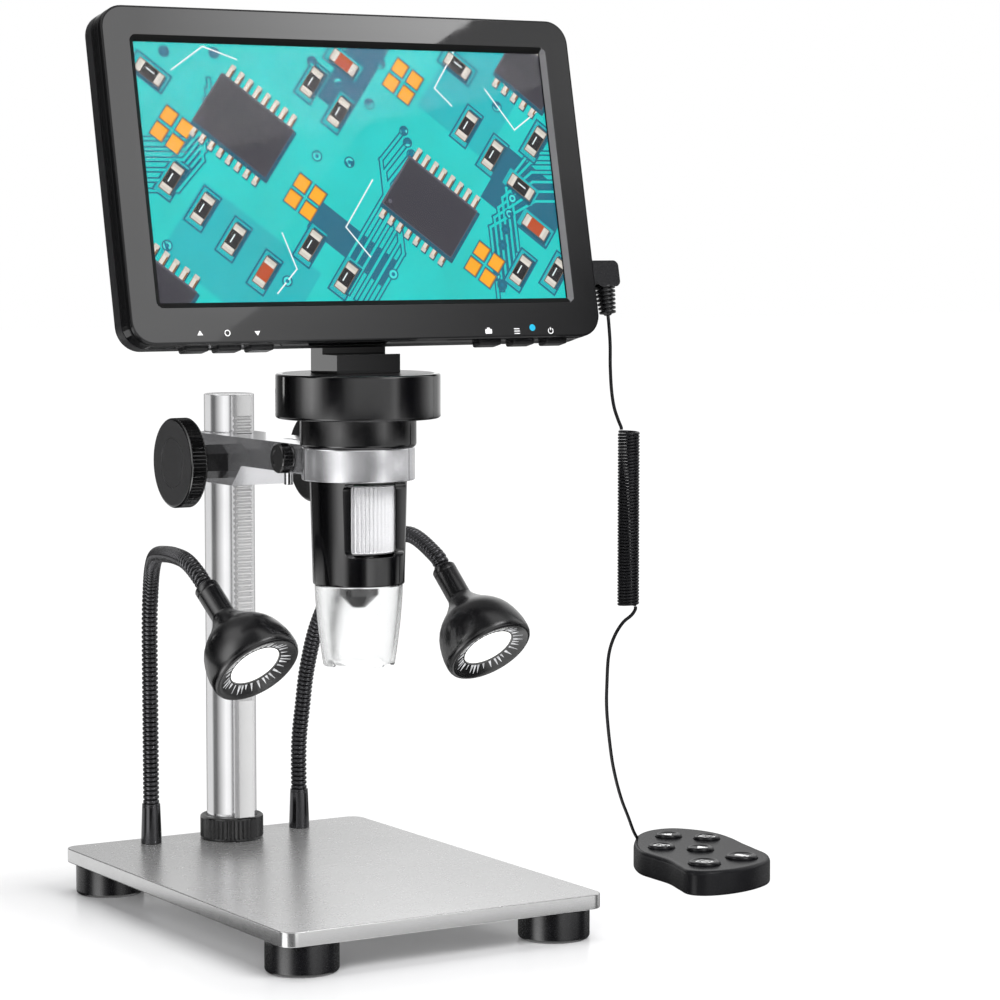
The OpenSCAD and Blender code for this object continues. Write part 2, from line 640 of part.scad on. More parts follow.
// four-sided funnel around the picture
module picture_funnel() intersection() {
  translate([0, 0, view_up - 60]) linear_extrude(120) polygon([
    [-opening_w / 2 - 0.2, -0.13], [opening_w / 2 + 0.2, -0.13],
    [view_w / 2 + 0.2, glass_y], [view_w / 2 + 0.2, glass_y + eps],
    [-view_w / 2 - 0.2, glass_y + eps], [-view_w / 2 - 0.2, glass_y]]);
  translate([-100, 0, view_up]) rotate([90, 0, 90]) linear_extrude(200) polygon([
    [-0.13, -opening_h / 2 - 0.2], [-0.13, opening_h / 2 + 0.2], [glass_y, view_h / 2 + 0.2],
    [glass_y + eps, view_h / 2 + 0.2], [glass_y + eps, -view_h / 2 - 0.2], [glass_y, -view_h / 2 - 0.2]]);
}

module key_slots(extra) for (x = key_places) translate([x - key_w / 2 - extra, key_y - key_d / 2 - extra,
  -case_h / 2 - 1]) cube([key_w + 2 * extra, key_d + 2 * extra, back_wall + 1.4]);

module screen_bezel() color([0.16, 0.16, 0.17]) on_screen() difference() {
  union() {
    slab(0, 1.2, 0, case_r);
    slab(1.2 - eps, 2.7, 0.8, case_r - 0.8);
    slab(2.7 - eps, seam_y, 0, case_r);
  }
  slab(glass_y + glass_t + 0.1, seam_y + 1, case_wall, case_r - case_wall);
  translate([-panel_w / 2 - 0.2, glass_y, view_up - panel_h / 2 - 0.2])
    cube([panel_w + 0.4, 9, panel_h + 0.4]);
  picture_funnel();
  key_slots(0.2);
  translate([0, jack_y, jack_z]) along_x(case_w / 2 - case_wall - 1, case_w / 2 + 1, jack_sleeve_d + 0.4);
}

module screen_glass() color([0.05, 0.06, 0.07, 0.4]) on_screen()
  translate([-panel_w / 2, glass_y + 0.02, view_up - panel_h / 2]) cube([panel_w, glass_t, panel_h]);

module lcd_panel() color([0.1, 0.55, 0.6]) on_screen()
  translate([-panel_w / 2, glass_y + glass_t + 0.04, view_up - panel_h / 2])
    cube([panel_w, panel_t, panel_h]);

board_y = glass_y + glass_t + panel_t + 0.6;
board_w = 76;
board_h = 58;
board_t = 1.6;
battery_w = 60;
battery_h = 44;
battery_t = 4.4;
between = 4;                                    // from the middle to the board and to the battery
chip_w = 14;
chip_t = 1.4;

module main_board() color([0.1, 0.35, 0.2]) on_screen()
  translate([-between - board_w, board_y, -board_h / 2]) union() {
    cube([board_w, board_t, board_h]);
    translate([board_w / 2 - chip_w, board_t - eps, board_h / 2]) cube([chip_w, chip_t, chip_w]);
    translate([board_w / 2 + chip_w, board_t - eps, board_h / 3]) cube([chip_w / 2, chip_t, chip_w]);
    translate([chip_w / 2, board_t - eps, board_h / 5]) cube([chip_w / 2, chip_t, chip_w / 2]);
  }

module battery() color([0.55, 0.55, 0.58]) on_screen()
  translate([between, board_y, -battery_h / 2]) cube([battery_w, battery_t, battery_h]);

bulge_w = 68;
bulge_h = 40;
bulge_t = 11;
vent_slots = 6;
vent_pitch = 4;
vent_w = 18;
vent_h = 1.4;
vent_x = 62;                                    // middle of each row of vents
vent_z = 18;                                    // lowest vent, above the housing's centre
pocket_w = neck_w + 2 * gap;
pocket_h = hinge_up + knuckle_d / 2 + gap;
module screen_back() color([0.13, 0.13, 0.14]) on_screen() difference() {
  union() {
    slab(seam_y + 0.3, case_t - 1.6, 0, case_r);
    slab(seam_y - lip, seam_y + 0.4, case_wall + 0.1, case_r - case_wall);
    slab(case_t - 1.6 - eps, case_t - 0.7, 0.7, case_r - 0.4);
    slab(case_t - 0.7 - eps, case_t, 1.8, case_r - 1.2);
    translate([-bulge_w / 2, case_t - eps, -case_h / 2 + 4.5]) cube([bulge_w, bulge_t, bulge_h - 2]);
    translate([0, case_t + bulge_t / 2 - eps, -case_h / 2 + 4.5 + bulge_h - 2]) rotate([90, 0, 0])
      translate([0, 0, -bulge_t / 2]) linear_extrude(bulge_t) rounded_rect(bulge_w, 10, 4.9);
  }
  slab(seam_y - 2 * lip, case_t - case_wall, back_wall, case_r - case_wall - 1);
  translate([-pocket_w / 2, case_t + gap, -case_h / 2]) cube([pocket_w, bulge_t + 1, pocket_h]);
  translate([0, hinge_dep, -case_h / 2 + hinge_up])
    along_x(-hinge_pin_l / 2 - 0.1, hinge_pin_l / 2 + 0.1, hinge_pin_d + 0.04);
  key_slots(0.2);
  translate([0, jack_y, jack_z]) along_x(case_w / 2 - case_wall - 2, case_w / 2 + 1, jack_sleeve_d + 0.4);
  for (x = [-vent_x, vent_x], k = [0:vent_slots - 1])
    translate([x - vent_w / 2, case_t - case_wall - 1, vent_z + vent_pitch * k]) cube([vent_w, 4, vent_h]);
}

hinge_pin_l = neck_w + 18;
module hinge_pin() color("silver") on_screen() translate([0, hinge_dep, -case_h / 2 + hinge_up])
  along_x(-hinge_pin_l / 2, hinge_pin_l / 2, hinge_pin_d);

module remote_jack() color([0.06, 0.06, 0.07]) on_screen() translate([0, jack_y, jack_z]) difference() {
  union() {
    translate([case_w / 2 - back_wall - 0.1 - jack_l, -jack_sleeve_d / 2, -3])
      cube([jack_l, jack_sleeve_d, 6]);
    along_x(case_w / 2 - back_wall - 0.2, case_w / 2 - 0.4, jack_sleeve_d);
  }
  along_x(case_w / 2 - back_wall - jack_l + 0.8, case_w / 2 + 1, jack_pin_d + 0.2);
}

module key(i) color([0.1, 0.1, 0.11]) on_screen() translate([key_places[i], key_y, -case_h / 2]) union() {
  translate([-key_w / 2, -key_d / 2, -key_proud]) cube([key_w, key_d, key_proud + back_wall + 0.2]);
  translate([-key_w / 2 - 0.6, -key_d / 2 + 0.3, back_wall + 0.1]) cube([key_w + 1.2, key_d - 0.6, 1]);
}
module key_up() key(0);
module key_select() key(1);
module key_down() key(2);
module key_photo() key(3);
module key_menu() key(4);
module key_power() key(5);

// ---------- lamps ----------

led_l = [-44.5, -10, 78];
led_r = [44.5, -10, 78];
dip_l = 42.8;                                   // degrees below level
dip_r = 46;
turn_l = 11.8;                                  // degrees towards +x
turn_r = 8.3;
route_l = [[-lamp_x, lamp_y, 6], [-lamp_x, lamp_y, 40], [-lamp_x, lamp_y, 76], [-30.5, 98, 90],
           [-33, 91, 100], [-38, 77, 106], [-43.5, 58, 108.5], [-48, 40, 109.5], [-51, 26, 109]];
route_r = [[lamp_x, lamp_y, 6], [lamp_x, lamp_y, 30], [30.5, 98, 45], [31, 95, 60], [32, 89, 76],
           [34, 79, 91], [37, 65, 103], [39, 48, 110.5], [39.5, 33, 113]];

function lamp_dir(dip, turn) = [sin(turn) * cos(dip), -cos(turn) * cos(dip), -sin(dip)];
function lamp_end(led, dip, turn, back) = led - (lamp_l + back) * lamp_dir(dip, turn);

module in_lamp(led, dip, turn) translate(led) rotate([0, 90 + dip, turn - 90])
  translate([0, 0, -lamp_l]) children();

socket_depth = 8;
lamp_rim = lamp_l + 2.2;                        // front edge of the bell
lamp_shape = [[0, 0], [socket_d / 2 - 0.5, 0], [socket_d / 2, 0.5], [socket_d / 2, socket_l],
  [socket_d / 2 + 0.7, socket_l + 1.6], [lamp_d * 0.25, socket_l + 4.4], [lamp_d * 0.36, socket_l + 7.6],
  [lamp_d * 0.44, socket_l + 11], [lamp_d * 0.485, socket_l + 14.6], [lamp_d / 2, socket_l + 18.4],
  [lamp_d * 0.497, lamp_rim - 1.6], [lamp_d * 0.48, lamp_rim], [lamp_d * 0.45, lamp_rim + 0.3],
  [led_d / 2 + 0.6, lamp_l + 0.6], [led_d / 2 + 0.05, lamp_l + 0.6], [led_d / 2 + 0.05, lamp_l - 1.2],
  [0, lamp_l - 1.2]];
module lamp_head(led, dip, turn) color([0.09, 0.09, 0.1]) in_lamp(led, dip, turn) difference() {
  rotate_extrude() polygon(lamp_shape);
  translate([0, 0, -eps]) cylinder(h = socket_depth, d = hose_d + 0.2);
  translate([0, 0, -eps]) cylinder(h = lamp_l, d = 3);
}
module lamp_disc(led, dip, turn) color([1, 1, 0.96]) in_lamp(led, dip, turn)
  translate([0, 0, lamp_l - 1.15]) cylinder(h = 1.3, d = led_d);
module lamp_head_left() lamp_head(led_l, dip_l, turn_l);
module lamp_head_right() lamp_head(led_r, dip_r, turn_r);
module lamp_disc_left() lamp_disc(led_l, dip_l, turn_l);
module lamp_disc_right() lamp_disc(led_r, dip_r, turn_r);

hose_sides = 12;
hose_step = 4;
module gooseneck(route, led, dip, turn) color([0.1, 0.1, 0.11])
  tube(smooth(concat(route, [for (back = [6, 0, 1 - socket_depth]) lamp_end(led, dip, turn, back)]),
              hose_step), hose_d, hose_sides, [1, 0, 0]);
module gooseneck_left() gooseneck(route_l, led_l, dip_l, turn_l);
module gooseneck_right() gooseneck(route_r, led_r, dip_r, turn_r);

// ---------- cord ----------

plug_out = 12.4;                                // how far the plug stands out of the housing's side
plug_h = 7.8;
plug_t = 6.2;
relief_x = case_w / 2 + 8.8;
relief_l = 10.6;
coil_x = 106;
coil_y = -4;
coil_top = 149.6;
route_upper = [[97.3, -3.4, 191.5], [97.3, -4.2, 187.8], [97.3, -5.2, 180], [97.2, -5.5, 172],
               [98, -5.1, 164], [99.4, -4.6, 158], [101.4, -4.2, 153.4], [102.8, -4, 150.8],
               [102.9, -4, 149.9]];
route_lower = [[109.1, -4, 87.3], [109, -4, 86.2], [107.6, -3.6, 84.2], [104.6, -2.6, 81.6],
               [102.4, -0.6, 76.6], [102, 2.2, 70], [103.8, 6, 60.6], [107.4, 11.6, 48.4],
               [115.4, 21, 31.6], [122, 28, 21], [129.6, 35.4, 11], [136.4, 41, 2.8],
               [141.2, 44.6, -3.6], [144.2, 46.6, -6.8], [147.2, 48.6, -10]];
cord_in = route_lower[len(route_lower) - 1];    // where the cord ends inside the remote
cord_way = cord_in - route_lower[len(route_lower) - 2];

module cord_plug() color([0.08, 0.08, 0.09]) on_screen() translate([0, jack_y, jack_z]) difference() {
  union() {
    along_x(case_w / 2 - 11, case_w / 2 + 3, jack_pin_d);
    along_x(case_w / 2 - 0.3, case_w / 2 + 3, jack_sleeve_d);
    translate([case_w / 2 + 0.4, -plug_t / 2, 0]) rotate([90, 0, 0]) translate([0, 0, -plug_t])
      linear_extrude(plug_t) polygon([[0, plug_h / 2], [plug_out - 1, plug_h / 2],
        [plug_out, -plug_h / 2 + 0.8], [plug_out - 1, -plug_h / 2], [4.6, -plug_h / 2], [0, 0]]);
    for (k = [0:6]) translate([relief_x, 0, -plug_h / 2 - 1.05 - 1.45 * k - 0.4])
      cylinder(h = 0.8, r1 = 2.9 - 0.1 * k, r2 = 3.1 - 0.1 * k);
    translate([relief_x, 0, -plug_h / 2 - relief_l]) cylinder(h = relief_l + 1, d1 = 3.4, d2 = 4.6);
  }
  translate([relief_x, 0, -plug_h / 2 - relief_l - eps]) cylinder(h = 2.4, d = cord_d + 0.1);
}
module cord_upper() color([0.05, 0.05, 0.05]) tube(smooth(route_upper, 4), cord_d, 8, [1, 0, 0]);
module cord_coil() color([0.05, 0.05, 0.05]) translate([coil_x, coil_y, coil_top - coil_l])
  cylinder(h = coil_l, d = coil_d);
module cord_lower() color([0.05, 0.05, 0.05]) tube(smooth(route_lower, 4), cord_d, 8, [0, 1, 0]);

// ---------- remote ----------

remote_at = [150, 18];
remote_turn = -9.6;
// hand-drawn outline in the remote's own frame, its long side along y
remote_line = [[1, 40], [10, 40.6], [17.4, 34], [21.8, 24], [22.6, 13], [21.8, 2], [21.4, -10], [20.6, -20],
               [15.5, -30.2], [6, -37.6], [-5, -41.6], [-14.6, -41.4], [-19.6, -36.8], [-19.2, -28],
               [-18.2, -17], [-19.6, -6], [-20.4, 3], [-17.6, 14.4], [-12.6, 25], [-7, 34]];
outline = smooth_loop(remote_line, 4);
remote_z = floor_z;
pads = [[0.8, 23.7, pad_d], [12.2, 14.6, pad_d], [-10.8, 4.8, pad_d], [0.7, -4.2, pad_d],
        [-9.4, -28.8, big_pad_d], [8, -23.4, big_pad_d]];
edge_r = 1.6;                                   // rounding of the top edge
edge_steps = 4;
pad_flange = 0.8;
pad_rest = 0.9;                                 // travel left under a button's flange
board_z = remote_h - remote_wall - pad_flange - pad_rest - 1.4;
base_t = 1.8;
board_posts = [[14, 0], [-12, -14], [-8, 15]];

module on_remote() translate([remote_at.x, remote_at.y, remote_z]) rotate([0, 0, remote_turn]) children();

module remote_shell() color([0.12, 0.12, 0.13]) on_remote() difference() {
  union() {
    translate([0, 0, 0.3]) linear_extrude(remote_h - 0.3 - edge_r) polygon(outline);
    linear_extrude(0.4) polygon(inset(outline, 0.3));
    for (k = [1:edge_steps]) let (a = 90 * k / edge_steps, top = remote_h - edge_r + edge_r * sin(a))
      translate([0, 0, remote_h - edge_r - 0.1]) linear_extrude(top - remote_h + edge_r + 0.1)
        polygon(inset(outline, edge_r * (1 - cos(a - 45 / edge_steps))));
  }
  translate([0, 0, -eps]) linear_extrude(remote_h - remote_wall) polygon(inset(outline, remote_wall));
  for (p = pads) translate([p[0], p[1], 0]) cylinder(h = remote_h + 1, d = p[2] + 0.3);
  rotate([0, 0, -remote_turn]) translate([-remote_at.x, -remote_at.y, -remote_z])
    rod(cord_in - 2 * cord_way, cord_in + cord_way, cord_d + 0.3);
}

module remote_base() color([0.1, 0.1, 0.11]) on_remote()
  linear_extrude(base_t) polygon(inset(outline, remote_wall + 0.15));

module remote_board() color([0.1, 0.35, 0.2]) on_remote() union() {
  translate([0, 0, board_z]) linear_extrude(1.2) polygon(inset(outline, remote_wall + 1.2));
  for (p = board_posts) translate([p.x, p.y, base_t]) cylinder(h = board_z - base_t + eps, d = 3);
}

module pad(i) color([0.1, 0.1, 0.11]) on_remote() translate([pads[i][0], pads[i][1], 0])
  rotate_extrude() polygon(let (r = pads[i][2] / 2, z0 = remote_h - remote_wall - pad_flange - 0.1,
      z1 = remote_h + pad_proud)
    [[0, z0], [r + 0.7, z0], [r + 0.7, z0 + pad_flange], [r, z0 + pad_flange], [r, z1 - 0.5], [r - 0.5, z1],
     [r - 1.2, z1], [r - 2, z1 - 0.35], [0, z1 - 0.5]]);
module pad_up() pad(0);
module pad_mode() pad(1);
module pad_zoom() pad(2);
module pad_down() pad(3);
module pad_select() pad(4);
module pad_video() pad(5);

base_plate();
feet();
base_screws();
column();
rack();
column_collar();
ferrule_left();
ferrule_right();
ferrule_nuts();
carriage();
shaft_bushes();
slot_pin();
pinion();
pinion_shaft();
knob_left();
knob_right();
clamp_screw();
barrel();
head_housing();
head_lid();
tilt_neck();
sensor_board();
led_ring();
clear_cap();
focus_wheel();
lens_cell();
objective_lens();
screen_bezel();
screen_back();
screen_glass();
lcd_panel();
main_board();
battery();
hinge_pin();
remote_jack();
key_up();
key_select();
key_down();
key_photo();
key_menu();
key_power();
gooseneck_left();
gooseneck_right();
lamp_head_left();
lamp_head_right();
lamp_disc_left();
lamp_disc_right();
cord_plug();
cord_upper();
cord_coil();
cord_lower();
remote_shell();
remote_base();
remote_board();
pad_up();
pad_mode();
pad_zoom();
pad_down();
pad_select();
pad_video();
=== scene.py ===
"""Visual model of the desktop digital microscope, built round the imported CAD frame."""
from math import asin, atan2, ceil, cos, degrees, hypot, pi, radians, sin

import bmesh
import bpy
from mathutils import Matrix, Vector


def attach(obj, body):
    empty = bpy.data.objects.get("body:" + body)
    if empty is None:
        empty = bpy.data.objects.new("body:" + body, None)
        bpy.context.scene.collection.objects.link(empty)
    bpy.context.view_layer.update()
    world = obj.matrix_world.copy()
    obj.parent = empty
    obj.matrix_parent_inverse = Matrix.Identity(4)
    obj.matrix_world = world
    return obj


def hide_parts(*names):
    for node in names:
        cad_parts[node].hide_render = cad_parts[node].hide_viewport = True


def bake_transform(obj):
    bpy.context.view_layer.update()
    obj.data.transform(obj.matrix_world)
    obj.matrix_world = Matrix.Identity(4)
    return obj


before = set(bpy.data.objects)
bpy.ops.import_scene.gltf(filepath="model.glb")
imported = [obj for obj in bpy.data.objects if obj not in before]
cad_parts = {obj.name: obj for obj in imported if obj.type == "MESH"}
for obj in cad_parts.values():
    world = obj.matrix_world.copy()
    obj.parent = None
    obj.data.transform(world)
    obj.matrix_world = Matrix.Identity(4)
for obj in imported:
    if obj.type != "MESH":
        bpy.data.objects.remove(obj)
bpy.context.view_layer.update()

MM = 0.001
T = Matrix.Translation


def turn(angle, axis):
    return Matrix.Rotation(radians(angle), 4, axis)


def added(name, data):
    """A new object in the scene."""
    obj = bpy.data.objects.new(name, data)
    bpy.context.scene.collection.objects.link(obj)
    return obj


# ---------- sizes in millimetres, as in the part's source ----------

FLOOR = -15.5
PLATE_W, PLATE_D, PLATE_T, PLATE_R, PLATE_Y = 120, 170, 5, 5, 25
FOOT_D, FOOT_H = 24, 10.5
FEET = [(x, y) for x in (-47.5, 47.5) for y in (-47.5, 97.5)]
REACH, COLUMN_D, COLUMN_H = 95.5, 18, 161
RACK_W, RACK_FACE, RACK_SEAT, RACK_ROOT, PITCH, RAIL_Z = 6, 12.2, 7.5, 10.75, 2.1, 8.8
WORK_H, PINION_Y = 138, 79.89
BARREL_Z, SEAT_Z, DISC_Z, DISC_TOP = 101.4, 147.4, 157, 172
CAP_Z = 74.1
WINDOW_Z, WINDOW_H = 111.2, 24.6
HINGE_Y, HINGE_Z, TILT = 7.6, 188.85, 12.4
CASE_W, CASE_H, CASE_T, CASE_R = 177, 111, 14, 8
VIEW_W, VIEW_H, VIEW_UP, GLASS_Y = 154.1, 85.9, 1.1, 1.3
SEAM_Y = 7.4
KEY_Y, KEY_W, KEY_D = 7.4, 8.8, 5.6
RING_R, ARM_W, SLOT_L = 18.95, 22, 50
FERRULE_X, FERRULE_Y, KNOB_X, CLAMP_AT, WHEEL_Z = 30, 100, 23.9, (-11.3, 28.5, 142.2), 111.8
# the middle of each button under the screen
KEYS = {"key_up": -63.9, "key_select": -52.1, "key_down": -40.3,
        "key_photo": 46.5, "key_menu": 59.7, "key_power": 72.9}
JACK_Y, JACK_Z = 8, -32.7
LAMP_L, LAMP_D, LED_D, SOCKET_D = 34.5, 31.2, 17.8, 8.4
HOSE_D, RIB, RIB_CUT = 5.8, 1.65, 0.7
# the light disc's centre, how far the lamp's axis dips, and how far it is turned from -y
LAMPS = {"left": ((-44.5, -10, 78), 42.8, 11.8), "right": ((44.5, -10, 78), 46, 8.3)}
CORD_D, COIL_WIRE = 1.2, 1.1
COIL_X, COIL_Y, COIL_R = 106, -4, 3.35
REMOTE_H = 9

ON_SCREEN = T((0, HINGE_Y, HINGE_Z)) @ turn(-TILT, "X") @ T((0, -CASE_T - 5.3, CASE_H / 2 - 10))
ON_REMOTE = T((150, 18, FLOOR)) @ turn(-9.6, "Z")


# ---------- camera ----------

camera = added("camera", bpy.data.cameras.new("camera"))
camera.data.lens = 118
camera.data.sensor_width = 36
camera.data.clip_end = 20
EYE = Vector((-531.1, -957.4, 220.7)) * MM
AIM = Vector((40.41, -24.76, 129.4)) * MM
camera.location = EYE
camera.rotation_euler = (AIM - EYE).to_track_quat("-Z", "Y").to_euler()
bpy.context.scene.camera = camera


# ---------- materials ----------

def nodes_of(material):
    material.use_nodes = True
    tree = material.node_tree
    return tree, tree.nodes["Principled BSDF"], tree.nodes["Material Output"]


def fill(tree, node, inputs):
    """Links or sets a node's inputs."""
    for socket, value in inputs.items():
        if isinstance(value, bpy.types.NodeSocket):
            tree.links.new(value, node.inputs[socket])
        else:
            node.inputs[socket].default_value = value


def add_node(tree, kind, inputs=None, **settings):
    """A new node with its settings and inputs."""
    made = tree.nodes.new("ShaderNode" + kind)
    for key, value in settings.items():
        setattr(made, key, value)
    fill(tree, made, inputs or {})
    return made


def object_place(tree):
    """The object's own coordinates, in metres."""
    return add_node(tree, "TexCoord").outputs["Object"]


def noise_at(tree, scale, stretch=(1, 1, 1)):
    place = add_node(tree, "Mapping", {"Vector": object_place(tree), "Scale": stretch}).outputs["Vector"]
    return add_node(tree, "TexNoise", {"Vector": place, "Scale": scale, "Detail": 3.0}).outputs["Fac"]


def spread(tree, value, low, high, from_low=0.35, from_high=0.65):
    return add_node(tree, "MapRange", {"Value": value, "From Min": from_low, "From Max": from_high,
                                       "To Min": low, "To Max": high}).outputs["Result"]


def blended(tree, share, first, second):
    """A mix of two colours."""
    return add_node(tree, "Mix", {"Factor": share, "A": first, "B": second}, data_type="RGBA").outputs["Result"]


def tinted(tree, dark, light, patch):
    """A colour between two tones, in broad patches."""
    return blended(tree, spread(tree, noise_at(tree, patch), 0, 1), [*dark, 1], [*light, 1])


def finish_of(name, color, rough, metal=0.0, vary=0.06, rough_vary=0.05, patch=60, grain=2500, bump=0.15,
              depth=0.02, stretch=(1, 1, 1), **sockets):
    """A material whose colour, roughness and relief come from noise at two scales. depth is in mm, and
    sockets are the shader's other settings."""
    material = bpy.data.materials.new(name)
    tree, shader, _ = nodes_of(material)
    fine = noise_at(tree, grain, stretch)
    relief = add_node(tree, "Bump", {"Strength": bump, "Distance": depth * MM, "Height": fine})
    dark, light = [c * (1 - vary) for c in color], [min(1, c * (1 + vary)) for c in color]
    fill(tree, shader, {
        "Base Color": tinted(tree, dark, light, patch),
        "Roughness": spread(tree, fine, max(0, rough - rough_vary), rough + rough_vary),
        "Normal": relief.outputs["Normal"], "Metallic": metal,
        **{socket.replace("_", " "): value for socket, value in sockets.items()}})
    return material


def glow(name, color, strength, low=0.96, patch=90):
    """A lit surface, a little uneven."""
    material = bpy.data.materials.new(name)
    tree, shader, _ = nodes_of(material)
    fill(tree, shader, {"Emission Color": tinted(tree, [c * low for c in color], color, patch),
                        "Emission Strength": strength, "Base Color": (0.02, 0.02, 0.02, 1), "Roughness": 0.5,
                        "Specular IOR Level": 0})
    return material


lacquer = finish_of("satin_plate", (0.60, 0.60, 0.60), 0.27, 0.72, vary=0.012, rough_vary=0.006, grain=200, bump=0,
                    depth=0.005)
edge_metal = finish_of("cut_edge", (0.74, 0.74, 0.74), 0.16, 0.85, vary=0.015, rough_vary=0.01, grain=300,
                       bump=0.02, depth=0.006)
rubber = finish_of("foot_rubber", (0.006, 0.006, 0.007), 0.24, vary=0.2, grain=3000, bump=0.1, depth=0.01,
                   Specular_IOR_Level=0.8)
zinc = finish_of("zinc", (0.55, 0.56, 0.58), 0.35, 1.0, grain=1800)
polished = finish_of("polished_column", (0.86, 0.86, 0.87), 0.13, 0.93, vary=0.02, rough_vary=0.02, grain=1500,
                     stretch=(1, 1, 0.02), bump=0.04, depth=0.004)
rack_metal = finish_of("rack_metal", (0.80, 0.80, 0.80), 0.24, 0.7, vary=0.015, rough_vary=0.01, grain=300,
                       bump=0.02, depth=0.005)
anodised = finish_of("black_anodised", (0.005, 0.005, 0.0055), 0.15, vary=0.15, rough_vary=0.01, grain=600,
                     bump=0.02, depth=0.01, Specular_IOR_Level=1.0)
knob_face = finish_of("knob_face", (0.033, 0.033, 0.034), 0.42, vary=0.06, grain=3600, bump=0.15, depth=0.01,
                      Specular_IOR_Level=0.4)
arm_metal = finish_of("arm_metal", (0.76, 0.76, 0.78), 0.11, 0.8, vary=0.02, rough_vary=0.01, grain=500,
                      stretch=(1, 0.15, 1), bump=0.02, depth=0.005)
gunmetal = finish_of("gunmetal", (0.10, 0.10, 0.105), 0.14, 0.95, vary=0.05, rough_vary=0.01, grain=400, bump=0.02,
                     depth=0.005)
chrome = finish_of("chrome", (0.86, 0.86, 0.88), 0.1, 1.0, vary=0.02, grain=1500, bump=0.04)
brass = finish_of("brass", (0.70, 0.52, 0.22), 0.3, 1.0, grain=1500)
gloss_black = finish_of("gloss_black", (0.0025, 0.0025, 0.003), 0.08, vary=0.1, rough_vary=0.01, patch=30,
                        grain=300, bump=0.0, depth=0.005, Specular_IOR_Level=1.0)
satin_black = finish_of("satin_black", (0.008, 0.008, 0.009), 0.30, vary=0.15, grain=4200, bump=0.15, depth=0.01)
wheel_white = finish_of("wheel_plastic", (0.80, 0.80, 0.81), 0.3, vary=0.03, grain=2500, bump=0.05, depth=0.005)
board_green = finish_of("solder_mask", (0.02, 0.14, 0.07), 0.4, vary=0.2, grain=1500)
led_board = finish_of("led_board", (0.85, 0.84, 0.75), 0.45, grain=1500)
case_black = finish_of("case_gloss", (0.008, 0.008, 0.0085), 0.035, vary=0.08, rough_vary=0.01, patch=25,
                       grain=300, bump=0.0, depth=0.005, Specular_IOR_Level=0.45)
bevel_black = finish_of("picture_rim", (0.003, 0.003, 0.003), 0.5, vary=0.1, Specular_IOR_Level=0.2)
# a lighter grey for the right wall of the picture's recess: painted light, the lit side of the dark rim
painted_lit_rim = finish_of("picture_rim_painted_light", (0.13, 0.13, 0.135), 0.4, vary=0.06, Specular_IOR_Level=0.3)
back_black = finish_of("back_satin", (0.016, 0.016, 0.017), 0.42, vary=0.15, grain=2600, bump=0.5, depth=0.03)
foil = finish_of("foil", (0.6, 0.6, 0.62), 0.35, 0.9, grain=700, bump=0.4)
hose_black = finish_of("hose", (0.10, 0.10, 0.105), 0.16, 0.9, vary=0.1, rough_vary=0.01, grain=400, bump=0.02,
                       depth=0.01)
lamp_black = finish_of("lamp_gloss", (0.003, 0.003, 0.0035), 0.24, vary=0.1, rough_vary=0.01, grain=300, bump=0.01,
                       depth=0.01, Specular_IOR_Level=1.0)
cord_black = finish_of("cord", (0.004, 0.004, 0.005), 0.30, vary=0.15, grain=900, bump=0.05,
                       Specular_IOR_Level=0.35)
remote_black = finish_of("remote_gloss", (0.010, 0.010, 0.011), 0.24, vary=0.15, grain=3600, bump=0.1, depth=0.01,
                         Specular_IOR_Level=0.15)
pad_black = finish_of("pad_gloss", (0.006, 0.006, 0.007), 0.15, vary=0.15, grain=1800, bump=0.03, depth=0.01,
                      Specular_IOR_Level=0.5)
ink = finish_of("white_ink", (0.86, 0.86, 0.86), 0.45, grain=3000, bump=0.05, depth=0.005)
blue_light = glow("blue_light", (0.01, 0.62, 0.95), 1.0)
lamp_light = glow("lamp_light", (1.0, 1.0, 0.98), 1.5, 0.94, 400)
# painted flare: thin glowing streaks on the lamps' reflectors that stand in for the lamps' glare
painted_flare_rays = glow("painted_flare_rays", (0.92, 0.93, 0.95), 1.0, 0.5, 700)
lens_glass = finish_of("lens_glass", (0.35, 0.45, 0.6), 0.04, vary=0.02, grain=500, bump=0,
                       Transmission_Weight=0.7, Coat_Weight=0.5)
clear = finish_of("clear_acrylic", (0.99, 0.995, 0.995), 0.17, vary=0.005, rough_vary=0.02, patch=40, grain=300,
                  bump=0.01, depth=0.01, Transmission_Weight=1.0, IOR=1.33, Coat_Weight=0.1, Coat_Roughness=0.03)
front_glass = finish_of("front_glass", (0.98, 0.98, 0.98), 0.02, vary=0.01, rough_vary=0.008, grain=400, bump=0,
                        Transmission_Weight=1.0, IOR=1.12)


# ---------- meshes ----------

class Solid:
    """Verts in millimetres and faces, gathered from several closed forms. mark is a form's material."""

    def __init__(self):
        self.verts, self.faces, self.marks = [], [], []

    def add(self, form, place=None, mark=0):
        verts, faces = form
        base = len(self.verts)
        self.verts += [(place @ Vector(v)) if place else Vector(v) for v in verts]
        self.faces += [[base + i for i in face] for face in faces]
        self.marks += [mark] * len(faces)
        return self

    def mesh(self, name):
        mesh = bpy.data.meshes.new(name)
        mesh.from_pydata([v * MM for v in self.verts], [], self.faces)
        mesh.polygons.foreach_set("material_index", self.marks)
        work = bmesh.new()
        work.from_mesh(mesh)
        bmesh.ops.recalc_face_normals(work, faces=work.faces)
        work.to_mesh(mesh)
        work.free()
        return mesh


def shade(mesh, sharp):
    mesh.polygons.foreach_set("use_smooth", [True] * len(mesh.polygons))
    mesh.set_sharp_from_angle(angle=radians(sharp))


def applied(obj):
    """The object's mesh with its modifiers in it."""
    bpy.context.view_layer.update()
    graph = bpy.context.evaluated_depsgraph_get()
    mesh = bpy.data.meshes.new_from_object(obj.evaluated_get(graph))
    obj.modifiers.clear()
    obj.data = mesh


